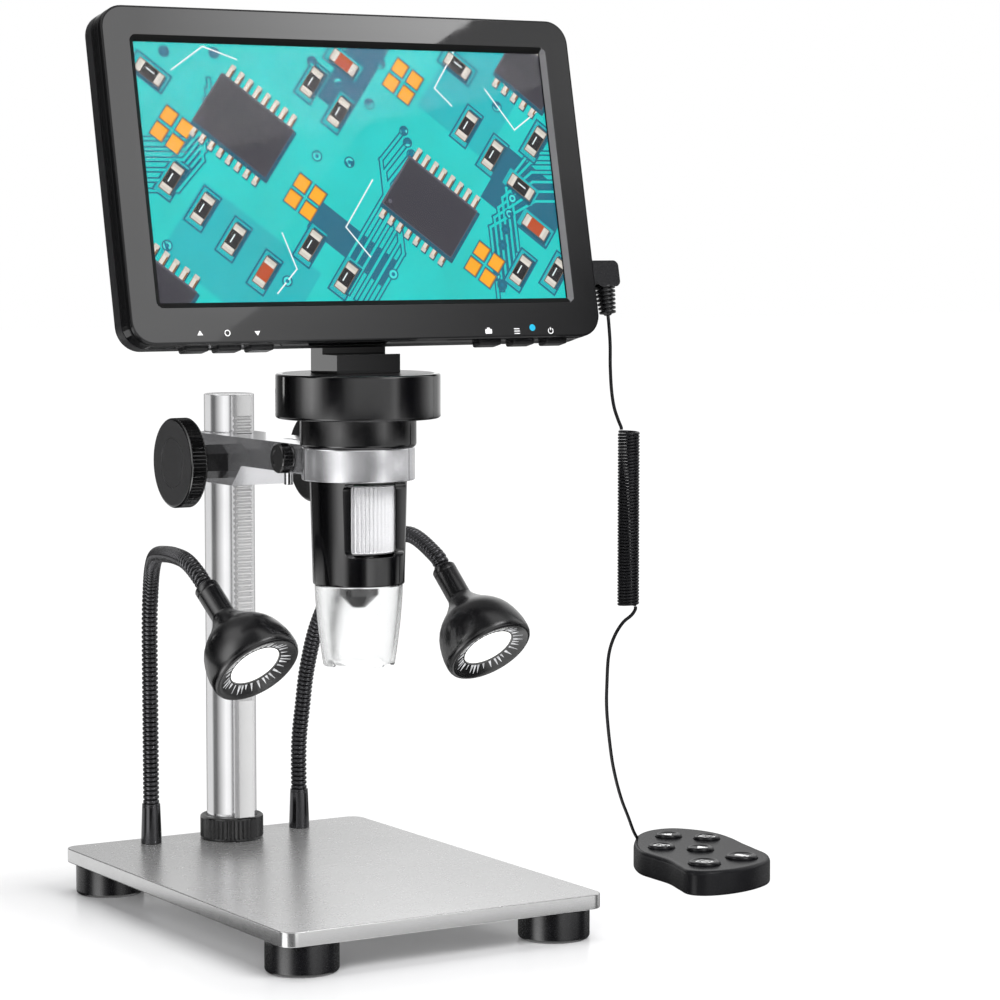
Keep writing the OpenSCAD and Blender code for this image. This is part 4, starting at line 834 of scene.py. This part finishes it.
class Art(Solid):
    """Flat shapes painted over each other, in millimetres on the picture area."""

    def shape(self, paint, outline, layer):
        outline = on_view([Vector(p) for p in outline])
        if outline:
            base = len(self.verts)
            self.verts += [Vector((p.x, ART_Y - 0.02 * layer, p.y + VIEW_UP)) for p in outline]
            self.faces.append(list(range(base, base + len(outline))))
            self.marks.append(paints.index(paint))

    def box(self, paint, at, w, h, angle, layer, dx=0.0, dy=0.0):
        c, s = cos(radians(angle)), sin(radians(angle))
        corners = ((-w / 2, -h / 2), (w / 2, -h / 2), (w / 2, h / 2), (-w / 2, h / 2))
        self.shape(paint, [(at[0] + c * (x + dx) - s * (y + dy), at[1] + s * (x + dx) + c * (y + dy))
                           for x, y in corners], layer)

    def track(self, points, w, paint="track", layer=1):
        for a, b in zip(points, points[1:]):
            a, b = Vector(a), Vector(b)
            side = Vector((a.y - b.y, b.x - a.x)).normalized() * w / 2
            on = (b - a).normalized() * w / 2
            self.shape(paint, [a - side - on, b - side + on, b + side + on, a + side - on], layer)

    def route(self, points, w=0.9):
        """A track between two dark grooves."""
        self.track(points, w + 1.1, "groove", 1)
        self.track(points, w, "mask", 2)

    def ring(self, at, r, hole, layer=3):
        self.shape("groove", circle(r + 0.5, 20, *at), layer)
        self.shape("track", circle(r, 20, *at), layer)
        self.shape("hole", circle(hole, 16, *at), layer + 1)

    def chip(self, at, w, h, angle, legs, layer=4):
        pitch = w / (legs + 0.3)
        for k in range(legs):
            x = (k - (legs - 1) / 2) * pitch
            for s in (-1, 1):
                self.box("shadow", at, pitch * 0.56, 5.4, angle, layer, x + 0.4, s * (h / 2 + 2.0) - 0.4)
                self.box("leg_dark", at, pitch * 0.52, 5.0, angle, layer + 1, x, s * (h / 2 + 2.0))
                self.box("leg", at, pitch * 0.34, 4.8, angle, layer + 2, x - pitch * 0.05, s * (h / 2 + 2.0))
                self.box("tin", at, pitch * 0.46, 1.4, angle, layer + 3, x, s * (h / 2 + 4.0))
        self.box("shadow", at, w + 1.2, h + 1.2, angle, layer + 3, 0.7, -0.9)
        self.box("chip_edge", at, w, h, angle, layer + 4)
        self.box("chip", at, w - 1.0, h - 1.0, angle, layer + 5, 0.25, -0.25)
        c, s = cos(radians(angle)), sin(radians(angle))
        dot = (at[0] + c * (2.4 - w / 2) - s * (2.4 - h / 2), at[1] + s * (2.4 - w / 2) + c * (2.4 - h / 2))
        self.shape("chip_edge", circle(0.8, 16, *dot), layer + 6)

    def resistor(self, at, angle, body, size=1.3, layer=4):
        self.box("groove", at, 11.4 * size, 6 * size, angle, 2)
        self.box("mask_deep", at, 10.4 * size, 5 * size, angle, 3)
        self.box("shadow", at, 8.6 * size, 4.2 * size, angle, layer, 0.5, -0.7)
        self.box("tin_dark", at, 8.2 * size, 3.7 * size, angle, layer + 1)
        for s in (-1, 1):
            self.box("tin", at, 1.9 * size, 3.2 * size, angle, layer + 2, s * 2.9 * size)
            self.box("leg", at, 0.7 * size, 2.6 * size, angle, layer + 3, s * 2.6 * size)
        self.box(body, at, 4.3 * size, 3.3 * size, angle, layer + 3)
        if body == "part":
            self.box("silk", at, 2.6 * size, 0.35 * size, angle, layer + 4, 0, 0.4 * size)

    def mesh(self, name):
        mesh = bpy.data.meshes.new(name)
        mesh.from_pydata([(ON_SCREEN @ v) * MM for v in self.verts], [], self.faces)
        mesh.polygons.foreach_set("material_index", self.marks)
        return mesh


def board_art():
    art = Art()
    lean = 52       # how far the board's parts are turned, in degrees
    art.box("mask", (0, 0), VIEW_W + 1, VIEW_H + 1, 0, 0)
    art.box("mask_deep", (-46, -30), 30, 50, lean, 0.5)
    art.box("mask_deep", (52, 32), 44, 30, lean, 0.5)
    art.box("groove", (6, 38), 40, 13, lean, 0.6)
    art.box("groove", (-4, -24), 34, 11, lean - 90, 0.6)
    art.box("groove", (66, -8), 22, 30, lean, 0.6)
    along = Vector((cos(radians(lean)), sin(radians(lean))))
    over = Vector((-along.y, along.x))
    for k in range(6):
        a = Vector((0, -46)) + over * (3.2 * k)
        b = a + along * (24 + 2.6 * k)
        art.route([a, b, b + Vector((0, 12)), b + Vector((10, 22))])
        art.ring(tuple(b + Vector((10, 22))), 1.3, 0.6)
        a = Vector((-78, -6 + 3.4 * k))
        art.route([a, a + Vector((12 + k, 0)), a + Vector((22 + k, 10)), a + Vector((22 + k, 20))])
        a = Vector((78, 8 - 3.4 * k))
        art.route([a, a - Vector((9, 0)), a - Vector((18 + 2 * k, 9)), a - Vector((18 + 2 * k, 34))])
        art.ring(tuple(a - Vector((18 + 2 * k, 16 + 2 * k))), 1.3, 0.6)
    for p in ((-12, 38), (-3, 31), (8, 24), (14, 38), (58, 24), (-30, -36), (-66, 40), (-14, 6), (-2, 4),
              (52, -38), (-72, -24), (10, -34), (74, -36), (-48, 40)):
        art.ring(p, 1.5, 0.7)
    art.chip((-40, 16), 31, 20.5, lean - 90, 8)
    art.chip((27, -11), 31, 20.5, lean - 90, 8)
    art.chip((72, 36), 22, 16, lean - 90, 5)
    art.chip((-76, -38), 22, 14, lean - 90, 5)
    across, red = ((0, 38), (64, -4), (68, -18), (-72, 33), (44, 38)), ((-38, -33), (0, 38), (68, -18))
    for at in ((-68, -2), (-58, -12), (-48, -22), (-38, -33), (-13, 31), (-4, 21), (0, 38), (45, 17), (54, 7),
               (64, -4), (68, -18), (-8, -35), (-20, -24), (72, 12), (-72, 33), (44, 38), (60, -33), (74, -34)):
        art.resistor(at, lean - 90 if at in across else lean, "part_red" if at in red else "part")
    for cx, cy in ((22, 32), (-20, -8), (46, -31), (-66, 14)):
        for i in (-0.5, 0.5):
            for j in (-0.5, 0.5):
                p = Vector((cx, cy)) + along * (6.6 * i) + over * (6.6 * j)
                art.box("groove", tuple(p), 6, 5.8, lean, 4)
                art.box("gold_deep", tuple(p), 5.2, 5, lean, 5)
                art.box("gold", tuple(p), 4.7, 4.5, lean, 6, -0.1, 0.15)
    for a, b, c in (((-64, 34), (-52, 42), (-40, 38)), ((2, -28), (-6, -18), (6, -2)),
                    ((40, 24), (34, 30), (44, 44)), ((-34, -40), (-26, -32), (-30, -20)),
                    ((76, 24), (64, 16), (54, 30))):
        art.track([a, b, c], 0.5, "silk", 4)
    return art


art_materials = [glow("art_" + paint, tone, 1.0, 0.9 if paint.startswith("mask") else 0.94, 45)
                 for paint, tone in PAINTS.items()]
piece("screen_picture", board_art(), art_materials, "picture", "screen")


# ---------- buttons and signs under the picture ----------

for name, x in KEYS.items():
    key = prism(rrect(KEY_W, KEY_D, 0.9, 4), -1.5, 3.2, 0.45, 0.7)
    piece(name + "_cap", Solid().add(key, ON_SCREEN @ T((x, KEY_Y, -CASE_H / 2))), [satin_black], "key_plastic",
          name, (name,))


def sign(name, outlines, body, place, slot, lift=0.03, blue=()):
    """Flat signs with a little thickness, printed on a face in white, and some in blue light."""
    solid = Solid()
    for mark, group in enumerate((outlines, blue)):
        for outline in group:
            solid.add(raised(outline, -0.05, lift), place, mark)
    return piece(name, solid, [ink, blue_light], slot, body)


def stroke(a, b, w):
    a, b = Vector(a), Vector(b)
    side = Vector((a.y - b.y, b.x - a.x)).normalized() * w / 2
    return [a - side, b - side, b + side, a + side]


def arc(r, w, from_deg, to_deg, x=0.0, y=0.0, n=28):
    """A ring or part of one, as one outline for each step."""
    out = []
    for k in range(n):
        a, b = (radians(from_deg + (to_deg - from_deg) * t / n) for t in (k, k + 1))
        out.append([Vector((x + q * cos(t), y + q * sin(t))) for q, t in
                    ((r - w / 2, a), (r + w / 2, a), (r + w / 2, b), (r - w / 2, b))])
    return out


def triangle(x, y, s):
    return [Vector((x - 1.15 * abs(s), y - 0.75 * s)), Vector((x + 1.15 * abs(s), y - 0.75 * s)),
            Vector((x, y + 0.95 * s))]


chin = [triangle(-64.7, -52, 0.9), triangle(-44.1, -52.3, -0.9), *arc(0.9, 0.28, 0, 360, -54.9, -52.1),
        rrect(2.6, 1.6, 0.3, 2, 43.2, -53.2), rrect(1.0, 0.5, 0.1, 2, 43.2, -52.2),
        *[stroke((53.3, -53.3 + d), (55.5, -53.3 + d), 0.3) for d in (-0.8, 0, 0.8)],
        *arc(0.95, 0.27, 125, 415, 67.9, -53.4), stroke((67.9, -53.2), (67.9, -52.2), 0.27)]
sign("screen_signs", chin, "screen", ON_SCREEN @ turn(90, "X"), "case_plastic",
     blue=[circle(1.15, 28, 60.7, -52.2)])


# ---------- lamps ----------

def lamp_axis(spec):
    led, dip, turned = spec
    dip, turned = radians(dip), radians(turned)
    return Vector(led), Vector((sin(turned) * cos(dip), -cos(turned) * cos(dip), -sin(dip)))


def in_lamp(spec):
    led, dip, turned = spec
    return T(led) @ turn(turned - 90, "Z") @ turn(90 + dip, "Y") @ T((0, 0, -LAMP_L))


RIM, RAYS = LAMP_L + 2.2, 34
SOCKET_R = SOCKET_D / 2
bell = [(2.95, 0), (3.9, 0), (SOCKET_R, 0.4), (SOCKET_R, 2.2), (4.0, 2.5), (SOCKET_R, 2.8), (SOCKET_R, 12.4),
        (4.35, 13.2), (5.0, 14.6), (6.4, 16.4), (7.9, 18.1), (9.6, 19.6), (11.2, 21.2), (12.6, 23.0), (13.7, 25.0),
        (14.5, 27.2), (15.1, 29.6), (15.5, 31.9), (LAMP_D / 2, RIM - 2.2), (15.45, RIM - 1.0), (15.1, RIM - 0.2),
        (14.5, RIM + 0.25), (13.9, RIM + 0.25), (12.9, LAMP_L + 1.9), (9.6, LAMP_L + 0.5), (8.95, LAMP_L + 0.5),
        (8.95, LAMP_L - 1.2), (2.95, LAMP_L - 1.2)]
disc_line = rounded([(0, LAMP_L - 1.15), (LED_D / 2, LAMP_L - 1.15), (LED_D / 2, LAMP_L + 0.1),
                     (0, LAMP_L + 0.3)], 0.25, closed=False)
HOSE_ROUTES = {
    "left": [(-30, 100, 6), (-30, 100, 40), (-30, 100, 76), (-30.5, 98, 90), (-33, 91, 100), (-38, 77, 106),
             (-43.5, 58, 108.5), (-48, 40, 109.5), (-51, 26, 109)],
    "right": [(30, 100, 6), (30, 100, 30), (30.5, 98, 45), (31, 95, 60), (32, 89, 76), (34, 79, 91), (37, 65, 103),
              (39, 48, 110.5), (39.5, 33, 113)]}


def hose_radius(gone):
    """Round ribs with narrow gaps between them."""
    return HOSE_D / 2 - RIB_CUT * abs(2 * ((gone / RIB) % 1) - 1) ** 3


for side, spec in LAMPS.items():
    led, way = lamp_axis(spec)
    body, place = f"lamp_{side}", in_lamp(spec)
    turned_piece(f"lamp_bell_{side}", bell, 96, lamp_black, "lamp_shell", body, (f"lamp_head_{side}",), place,
                 True, sharp=40)
    turned_piece(f"lamp_light_{side}", disc_line, 64, lamp_light, "lamp_light", body, (f"lamp_disc_{side}",),
                 place)
    # painted flare: glowing streaks over the reflector round each light disc, painted light in place of glare
    rays = Solid()
    for k in range(RAYS):
        a, far = 2 * pi * k / RAYS + 0.05 * sin(5 * k), 11.2 + 1.5 * abs(sin(2.3 * k + len(side)))
        wide, lift = 0.045 + 0.02 * sin(3.1 * k), 0.06
        line = [(9.5, a - wide), (9.5, a + wide), (far, a + 0.004), (far, a - 0.004)]
        rays.add(loft([[(r * cos(t), r * sin(t), LAMP_L + 0.5 + 1.4 * (r - 9.6) / 3.3 + up) for r, t in line]
                       for up in (-0.05, lift)]), place)
    piece(f"lamp_rays_{side}", rays, [painted_flare_rays], "lamp_light", body)
    ends = [led - (LAMP_L + back) * way for back in (6, 0, -7)]
    line = evenly(curve_through(HOSE_ROUTES[side] + ends, 24), RIB / 10)
    hose = piece(f"hose_{side}", Solid().add(tube(line, hose_radius, 24)), [hose_black], "hose", None,
                 (f"gooseneck_{side}",), sharp=60)
    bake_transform(hose)


# ---------- remote ----------

REMOTE_LINE = [(1, 40), (10, 40.6), (17.4, 34), (21.8, 24), (22.6, 13), (21.8, 2), (21.4, -10), (20.6, -20),
               (15.5, -30.2), (6, -37.6), (-5, -41.6), (-14.6, -41.4), (-19.6, -36.8), (-19.2, -28), (-18.2, -17),
               (-19.6, -6), (-20.4, 3), (-17.6, 14.4), (-12.6, 25), (-7, 34)]
PAD_GAP, PAD_WELL, PAD_FOOT = 0.25, 3.6, 2.1      # round a button, the well's depth, and the button's in it
# each button's middle and width
PADS = {"pad_up": (0.8, 23.7, 9.7), "pad_mode": (12.2, 14.6, 9.7), "pad_zoom": (-10.8, 4.8, 9.7),
        "pad_down": (0.7, -4.2, 9.7), "pad_select": (-9.4, -28.8, 11.5), "pad_video": (8, -23.4, 11.5)}
remote_outline = curve_through(REMOTE_LINE, 7, loop=True)[::-1]
shell_rings = [(0.9, 0), (0.3, 0.12), (0.05, 0.5), (0, 1.0), (0, REMOTE_H - 1.7), (0.12, REMOTE_H - 1.1),
               (0.45, REMOTE_H - 0.5), (0.95, REMOTE_H - 0.15), (1.7, REMOTE_H), (3.2, REMOTE_H + 0.02)]
shell = Solid().add(stepped(remote_outline, shell_rings), ON_REMOTE)
pad_cuts = Solid()
for x, y, d in PADS.values():
    pad_cuts.add(raised(circle(d / 2 + PAD_GAP, 56, x, y), REMOTE_H - PAD_WELL, REMOTE_H + 1), ON_REMOTE)
piece("remote_case", shell, [remote_black], "remote_plastic", "remote", ("remote_shell", "remote_base"),
      cuts=[pad_cuts], bevel=0.14, sharp=40)
for name, (x, y, d) in PADS.items():
    r, top = d / 2, REMOTE_H + 1.3
    line = rounded([(0, REMOTE_H - PAD_FOOT), (r, REMOTE_H - PAD_FOOT), (r, top - 0.5), (r - 0.5, top),
                    (r - 1.2, top), (r - 1.7, top - 0.4), (0, top - 0.4)], 0.35, closed=False)
    turned_piece(name + "_cap", line, 56, pad_black, "pad_plastic", name, (name,), ON_REMOTE @ T((x, y, 0)))


def framed(parts, w=5.0, h=3.5):
    """A thin frame round a sign."""
    x, y = w / 2, h / 2
    corners = [(-x, -y), (x, -y), (x, y), (-x, y)]
    return [stroke(corners[i], corners[(i + 1) % 4], 0.38) for i in range(4)] + parts


PAD_SIGNS = {
    "pad_up": [triangle(0, 0, 2.0)],
    "pad_down": [triangle(0, 0, -2.0)],
    "pad_mode": framed([stroke((-1.1, -0.5), (-1.1, 0.5), 0.3), stroke((0, -0.5), (1.2, -0.5), 0.3),
                        stroke((0, 0.5), (1.2, 0.5), 0.3)]),
    "pad_zoom": framed([stroke((-1.2, 0), (1.2, 0), 0.3), stroke((0, -0.9), (0, 0.9), 0.3)]),
    "pad_select": framed([stroke((-1.2, -0.1), (-0.3, -0.9), 0.4), stroke((-0.3, -0.9), (1.4, 0.9), 0.4)],
                         5, 3.6),
    "pad_video": [rrect(4.0, 2.6, 0.5, 3, -0.6, 0), [(1.7, -0.4), (3.0, -1.3), (3.0, 1.3), (1.7, 0.4)]]}
for name, outlines in PAD_SIGNS.items():
    x, y, _ = PADS[name]
    sign(name + "_sign", outlines, name, ON_REMOTE @ T((x, y, REMOTE_H + 0.9)) @ turn(-60, "Z"), "pad_plastic",
         0.05)


# ---------- CAD pieces that stay, with finer materials ----------

KEPT = {
    "base_screws": zinc, "ferrule_nuts": zinc, "pinion": brass, "pinion_shaft": chrome,
    "sensor_board": board_green, "led_ring": led_board, "objective_lens": lens_glass, "lcd_panel": satin_black,
    "main_board": board_green, "battery": foil, "hinge_pin": chrome, "remote_jack": satin_black,
    "remote_board": board_green}
for node, material in KEPT.items():
    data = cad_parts[node].data
    data.materials.clear()
    data.materials.append(material)


# ---------- floor, light and background, in metres ----------

FRONT = Vector((EYE.x - AIM.x, EYE.y - AIM.y, 0)).normalized()
SIDE = Vector((-FRONT.y, FRONT.x, 0))

# Brightness of the studio's wall by angle from the camera's side, to the right positive. From its foot upwards:
# what shows in the feet, below the barrel, in the barrel, in the arm's ring, in the head's disc and in what
# faces up; and last the column's own wall.
FEET_BANDS = [(-180, 0.1), (-120, 0.0), (-84, 0.0), (-70, 0.1), (-56, 3.0), (-40, 3.0), (-24, 0.3), (-6, 0.0),
              (14, 0.0), (34, 0.5), (52, 0.5), (66, 0.03), (90, 0.0), (120, 0.1), (180, 0.1)]
LOW = [(-180, 0.15), (-150, 0.6), (-135, 0.85), (-100, 0.85), (-86, 0.1), (-70, 0.1), (-54, 1.3), (-36, 1.3),
       (-20, 0.06), (8, 0.0), (18, 0.15), (26, 1.3), (34, 1.2), (46, 0.8), (76, 0.8), (90, 0.04), (104, 0.0),
       (116, 0.6), (140, 0.2), (180, 0.15)]
MID = [(-180, 0.62), (-160, 0.3), (-145, 0.08), (-124, 0.1), (-112, 0.1), (-102, 0.0), (-77, 0.02), (-66, 0.22),
       (-55, 0.8), (-44, 1.6), (-34, 1.85), (-24, 1.05), (-14, 0.38), (-5, 0.08), (5, 0.0), (24, 0.0), (34, 0.3),
       (44, 0.95), (55, 1.3), (66, 0.65), (77, 0.13), (90, 0.0), (104, 0.0), (122, 0.35), (150, 0.4), (180, 0.62)]
RING = [(-180, 0.62), (-143, 0.48), (-128, 0.3), (-116, 0.14), (-108, 0.2), (-98, 0.4), (-87, 0.18), (-75, 0.19),
        (-63, 0.48), (-52, 0.75), (-41, 0.94), (-21, 0.94), (-11, 0.74), (0, 0.43), (9, 0.31), (19, 0.1),
        (29, 0.04), (39, 0.05), (50, 0.26), (61, 0.43), (72, 0.79), (85, 0.93), (99, 0.81), (115, 0.55),
        (137, 0.58), (180, 0.62)]
HIGH = [(-180, 1.3), (-150, 0.5), (-140, 0.15), (-121, 0.03), (-107, 0.0), (-94, 0.06), (-83, 0.5), (-73, 1.7),
        (-63, 2.3), (-54, 1.4), (-45, 0.35), (-36, 0.0), (-28, 0.0), (-20, 0.08), (-12, 0.45), (0, 0.72),
        (45, 0.72), (54, 1.1), (63, 0.12), (73, 0.0), (83, 0.0), (94, 0.12), (107, 0.6), (121, 1.1), (140, 0.7),
        (180, 1.3)]
OVERHEAD = [(-180, 0.2), (-110, 0.3), (-90, 1.0), (-60, 1.0), (-40, 0.1), (20, 0.1), (50, 0.8), (90, 0.8),
            (120, 0.2), (180, 0.2)]
COLUMN = [(-180, 0.35), (-150, 0.45), (-130, 0.8), (-110, 0.8), (-92, 0.8), (-80, 0.15), (-64, 0.13), (-50, 0.45),
          (-32, 0.85), (-16, 1.15), (0, 1.05), (12, 0.5), (22, 0.45), (40, 0.8), (62, 0.95), (80, 0.6), (95, 0.2),
          (112, 0.5), (130, 0.9), (155, 0.5), (180, 0.35)]
COLUMN_WALL = 13.2                     # its own wall's radius in mm
PEAK, DIM = 3.0, 0.4                   # the brightest strip, and the strength every emission of a wall has
FLOOR_LIGHT, WORLD_LIGHT = 1.1, 0.12
FLOOR_HALF, FLOOR_GAP = 6.0, 0.02      # half its width in metres, and how far it lies under the feet in mm
WALL_LINE = [(0.55, -0.5), (0.55, 0.36), (0.52, 0.5), (0.42, 0.64), (0.25, 0.74), (0, 0.78)]
PICTURE = 1000                         # the photograph's width and height in pixels


def seen_rays(tree):
    """1 for what the camera, a reflection or glass shows, and 0 for all other light."""
    path = add_node(tree, "LightPath").outputs
    out = path["Is Camera Ray"]
    for kind in ("Is Glossy Ray", "Is Transmission Ray"):
        out = add_node(tree, "Math", {0: out, 1: path[kind]}, operation="MAXIMUM").outputs[0]
    return out


def mixed(tree, share, first, second):
    """A mix of two shaders."""
    return add_node(tree, "MixShader", {0: share, 1: first, 2: second}).outputs[0]


def studio_object(name, verts, faces, at=(0, 0, 0)):
    """A floor, wall or card of the studio, with its material's tree, shader and output."""
    mesh = bpy.data.meshes.new(name)
    mesh.from_pydata(verts, [], faces)
    obj = added(name, mesh)
    obj.location = at
    material = bpy.data.materials.new(name)
    mesh.materials.append(material)
    return obj, *nodes_of(material)


def studio_floor():
    """Lit white away from the object, where it is seen. Over the plate's footprint the white glow is faded out, a
    painted darker patch under the plate in which the real shadow also shows.
    """
    s = FLOOR_HALF
    floor, tree, shader, output = studio_object("floor", [(-s, -s, 0), (s, -s, 0), (s, s, 0), (-s, s, 0)],
                                                [(0, 1, 2, 3)], (0, 0, (FLOOR - FLOOR_GAP) * MM))
    floor.visible_glossy = False
    fill(tree, shader, {"Base Color": (0.86, 0.86, 0.87, 1), "Roughness": 0.15, "Specular IOR Level": 0.8})
    out = object_place(tree)
    for operation, by in (("SUBTRACT", (0, PLATE_Y * MM, 0)), ("ABSOLUTE", None),
                          ("SUBTRACT", (PLATE_W / 2 * MM, PLATE_D / 2 * MM, 0)), ("MAXIMUM", (0, 0, 0))):
        inputs = {0: out, 1: by} if by else {0: out}
        out = add_node(tree, "VectorMath", inputs, operation=operation).outputs[0]
    beyond = add_node(tree, "VectorMath", {0: out}, operation="LENGTH").outputs["Value"]
    # the white glow grows with the distance outside the plate's footprint: painted shade under the plate, with the
    # real shadow in it
    share = add_node(tree, "Math", {0: spread(tree, beyond, 0.03, 0.9, 0.0, 0.05), 1: seen_rays(tree)},
                     operation="MULTIPLY")
    light = add_node(tree, "Emission", {"Strength": FLOOR_LIGHT})
    fill(tree, output, {"Surface": mixed(tree, share.outputs[0], shader.outputs[0], light.outputs[0])})


def studio_world():
    """White where it is seen, in metal and in glass, and a soft grey light for all else."""
    world = bpy.data.worlds.new("studio")
    bpy.context.scene.world = world
    world.use_nodes = True
    tree = world.node_tree
    tree.nodes.clear()
    soft, white = (add_node(tree, "Background", {"Color": (grey, grey, grey, 1)}).outputs[0]
                   for grey in (WORLD_LIGHT, 1))
    add_node(tree, "OutputWorld", {"Surface": mixed(tree, seen_rays(tree), soft, white)})


def only_mirrored(name, verts, faces, at=(0, 0, 0)):
    """A card or wall that only reflections show."""
    obj, tree, _, output = studio_object(name, verts, faces, at)
    obj.visible_camera = obj.visible_diffuse = obj.visible_shadow = obj.visible_transmission = False
    return tree, output


def banded_wall(name, profile, tiers, at=(0, 0, 0), inside_only=False):
    """A round wall with bright and dark strips, for the gloss of metal and black plastic. A tier is
    (strips, low, high): it takes over from the tier before between two heights."""
    tree, output = only_mirrored(name, *lathe(profile, 96), at)
    where = object_place(tree)
    across, ahead = (add_node(tree, "VectorMath", {0: where, 1: axis}, operation="DOT_PRODUCT").outputs["Value"]
                     for axis in (SIDE, FRONT))
    angle = add_node(tree, "Math", {0: across, 1: ahead}, operation="ARCTAN2").outputs[0]
    turned = spread(tree, angle, 0, 1, -pi, pi)
    height = add_node(tree, "SeparateXYZ", {0: where}).outputs["Z"]
    color = None
    for bands, low, high in tiers:
        ramp = add_node(tree, "ValToRGB", {"Fac": turned})
        stops = ramp.color_ramp.elements
        while len(stops) < len(bands):
            stops.new(0.5)
        for stop, (at_angle, value) in zip(stops, bands):
            stop.position = (at_angle + 180) / 360
            stop.color = (value / PEAK, value / PEAK, value / PEAK, 1)
        shade_of = ramp.outputs["Color"]
        color = blended(tree, spread(tree, height, 0, 1, low, high), color, shade_of) if color else shade_of
    shining = lit(tree, color, PEAK)
    if inside_only:
        facing = add_node(tree, "NewGeometry").outputs["Backfacing"]
        shining = mixed(tree, facing, shining, add_node(tree, "BsdfTransparent").outputs[0])
    fill(tree, output, {"Surface": shining})


def lit(tree, color, strength):
    """An emission whose brightness is mostly in its colour, which renders with less noise."""
    scaled = add_node(tree, "VectorMath", {0: color, "Scale": strength / DIM}, operation="SCALE").outputs[0]
    return add_node(tree, "Emission", {"Color": scaled, "Strength": DIM}).outputs[0]


def soft_box(name, at, to, size, power):
    light = bpy.data.lights.new(name, "AREA")
    light.shape, light.size, light.size_y, light.energy = "RECTANGLE", size[0], size[1], power
    obj = added(name, light)
    obj.location = at
    obj.rotation_euler = (Vector(to) - Vector(at)).to_track_quat("-Z", "Y").to_euler()
    obj.visible_glossy = False


def mirror_card(name, centre, normal, rows, away=0.5):
    """A card whose reflection in a flat face has this place in the picture. A row is
    (v, ((u, brightness), ...)), with u and v in the photograph's pixels."""
    bpy.context.view_layer.update()
    seen = camera.matrix_world
    focal, half = camera.data.lens / camera.data.sensor_width * PICTURE, PICTURE / 2
    corners, shine, faces, n = [], [], [], len(rows[0][1])
    for v, stops in rows:
        for u, bright in stops:
            ray = (seen.to_3x3() @ Vector(((u - half) / focal, (half - v) / focal, -1))).normalized()
            hit = EYE + ray * ((centre - EYE).dot(normal) / ray.dot(normal))
            corners.append(hit + (ray - 2 * ray.dot(normal) * normal) * away)
            shine.append(bright)
    for r in range(len(rows) - 1):
        faces += [(r * n + k, r * n + k + 1, r * n + n + k + 1, r * n + n + k) for k in range(n - 1)]
    tree, output = only_mirrored(name, corners, faces)
    bpy.data.meshes[name].attributes.new("shine", "FLOAT", "POINT").data.foreach_set("value", shine)
    shone = add_node(tree, "Attribute", attribute_name="shine").outputs["Color"]
    fill(tree, output, {"Surface": lit(tree, shone, 1)})


studio_floor()
studio_world()
banded_wall("wall", WALL_LINE,
            ((FEET_BANDS, 0, 0), (LOW, -0.109, -0.107), (MID, 0.03, 0.045), (RING, 0.0943, 0.0955),
             (MID, 0.1115, 0.1125), (HIGH, 0.1255, 0.127), (OVERHEAD, 0.42, 0.6)))
# the column's wall stands close to it, so a mirrored ray meets it at another angle than the ray's own
near = [(at - degrees(asin(COLUMN_D / 2 / COLUMN_WALL * sin(radians(at / 2)))), value) for at, value in COLUMN]
for low, high in ((RAIL_Z, WORK_H - 9), (WORK_H + 9.4, COLUMN_H + 1)):
    banded_wall("column_wall", [(COLUMN_WALL * MM, low * MM), (COLUMN_WALL * MM, high * MM)], ((near, 0, 0),),
                (0, REACH * MM, 0), True)
# the card in the screen's gloss: a row's height, its bright edge, and the brightness left of it, at it, past
# it and far right
SCREEN_ROWS = ((-60, 560, 3.3, 9.5, 1.2, 0.6), (16, 482, 3.3, 9.5, 1.2, 1.2), (52, 443, 3.3, 8.5, 1.2, 1.3),
               (100, 389, 3.3, 7.5, 1.2, 1.2), (171, 328, 3.3, 5.5, 1.3, 0.9), (236, 284, 3.2, 4, 1.6, 0.4),
               (300, 258, 3.1, 3.2, 2.0, 0.1), (335, 233, 3.1, 3.0, 2.0, 0.05), (430, 180, 3, 2.8, 2, 0))
screen_card = []
for v, edge, left, peak, past, right in SCREEN_ROWS:
    between = (past + 2 * right) / 3 if v > 150 else past
    screen_card.append((v, ((-40, left), (140, left), (edge, peak), (edge, past), (420 + v / 5, between),
                            (660, right))))
mirror_card("screen_card", ON_SCREEN.translation * MM, ON_SCREEN.to_3x3() @ Vector((0, -1, 0)), screen_card)
mirror_card("neck_card", Vector((-12, 0, 180)) * MM, Vector((-1, 0, 0)),
            [(325, ((285, 2), (345, 2))), (395, ((285, 2), (345, 2)))], 0.25)
soft_box("key", (0.5, -1.0, 1.1), (0, 0, 0.08), (0.9, 0.7), 20)
soft_box("fill", (-0.9, -0.9, 0.7), (0, 0, 0.1), (0.7, 0.7), 10)
soft_box("top", (0.1, 0.3, 1.4), (0, 0, 0), (1.2, 1.2), 18)
bpy.context.scene.view_settings.view_transform = "Standard"
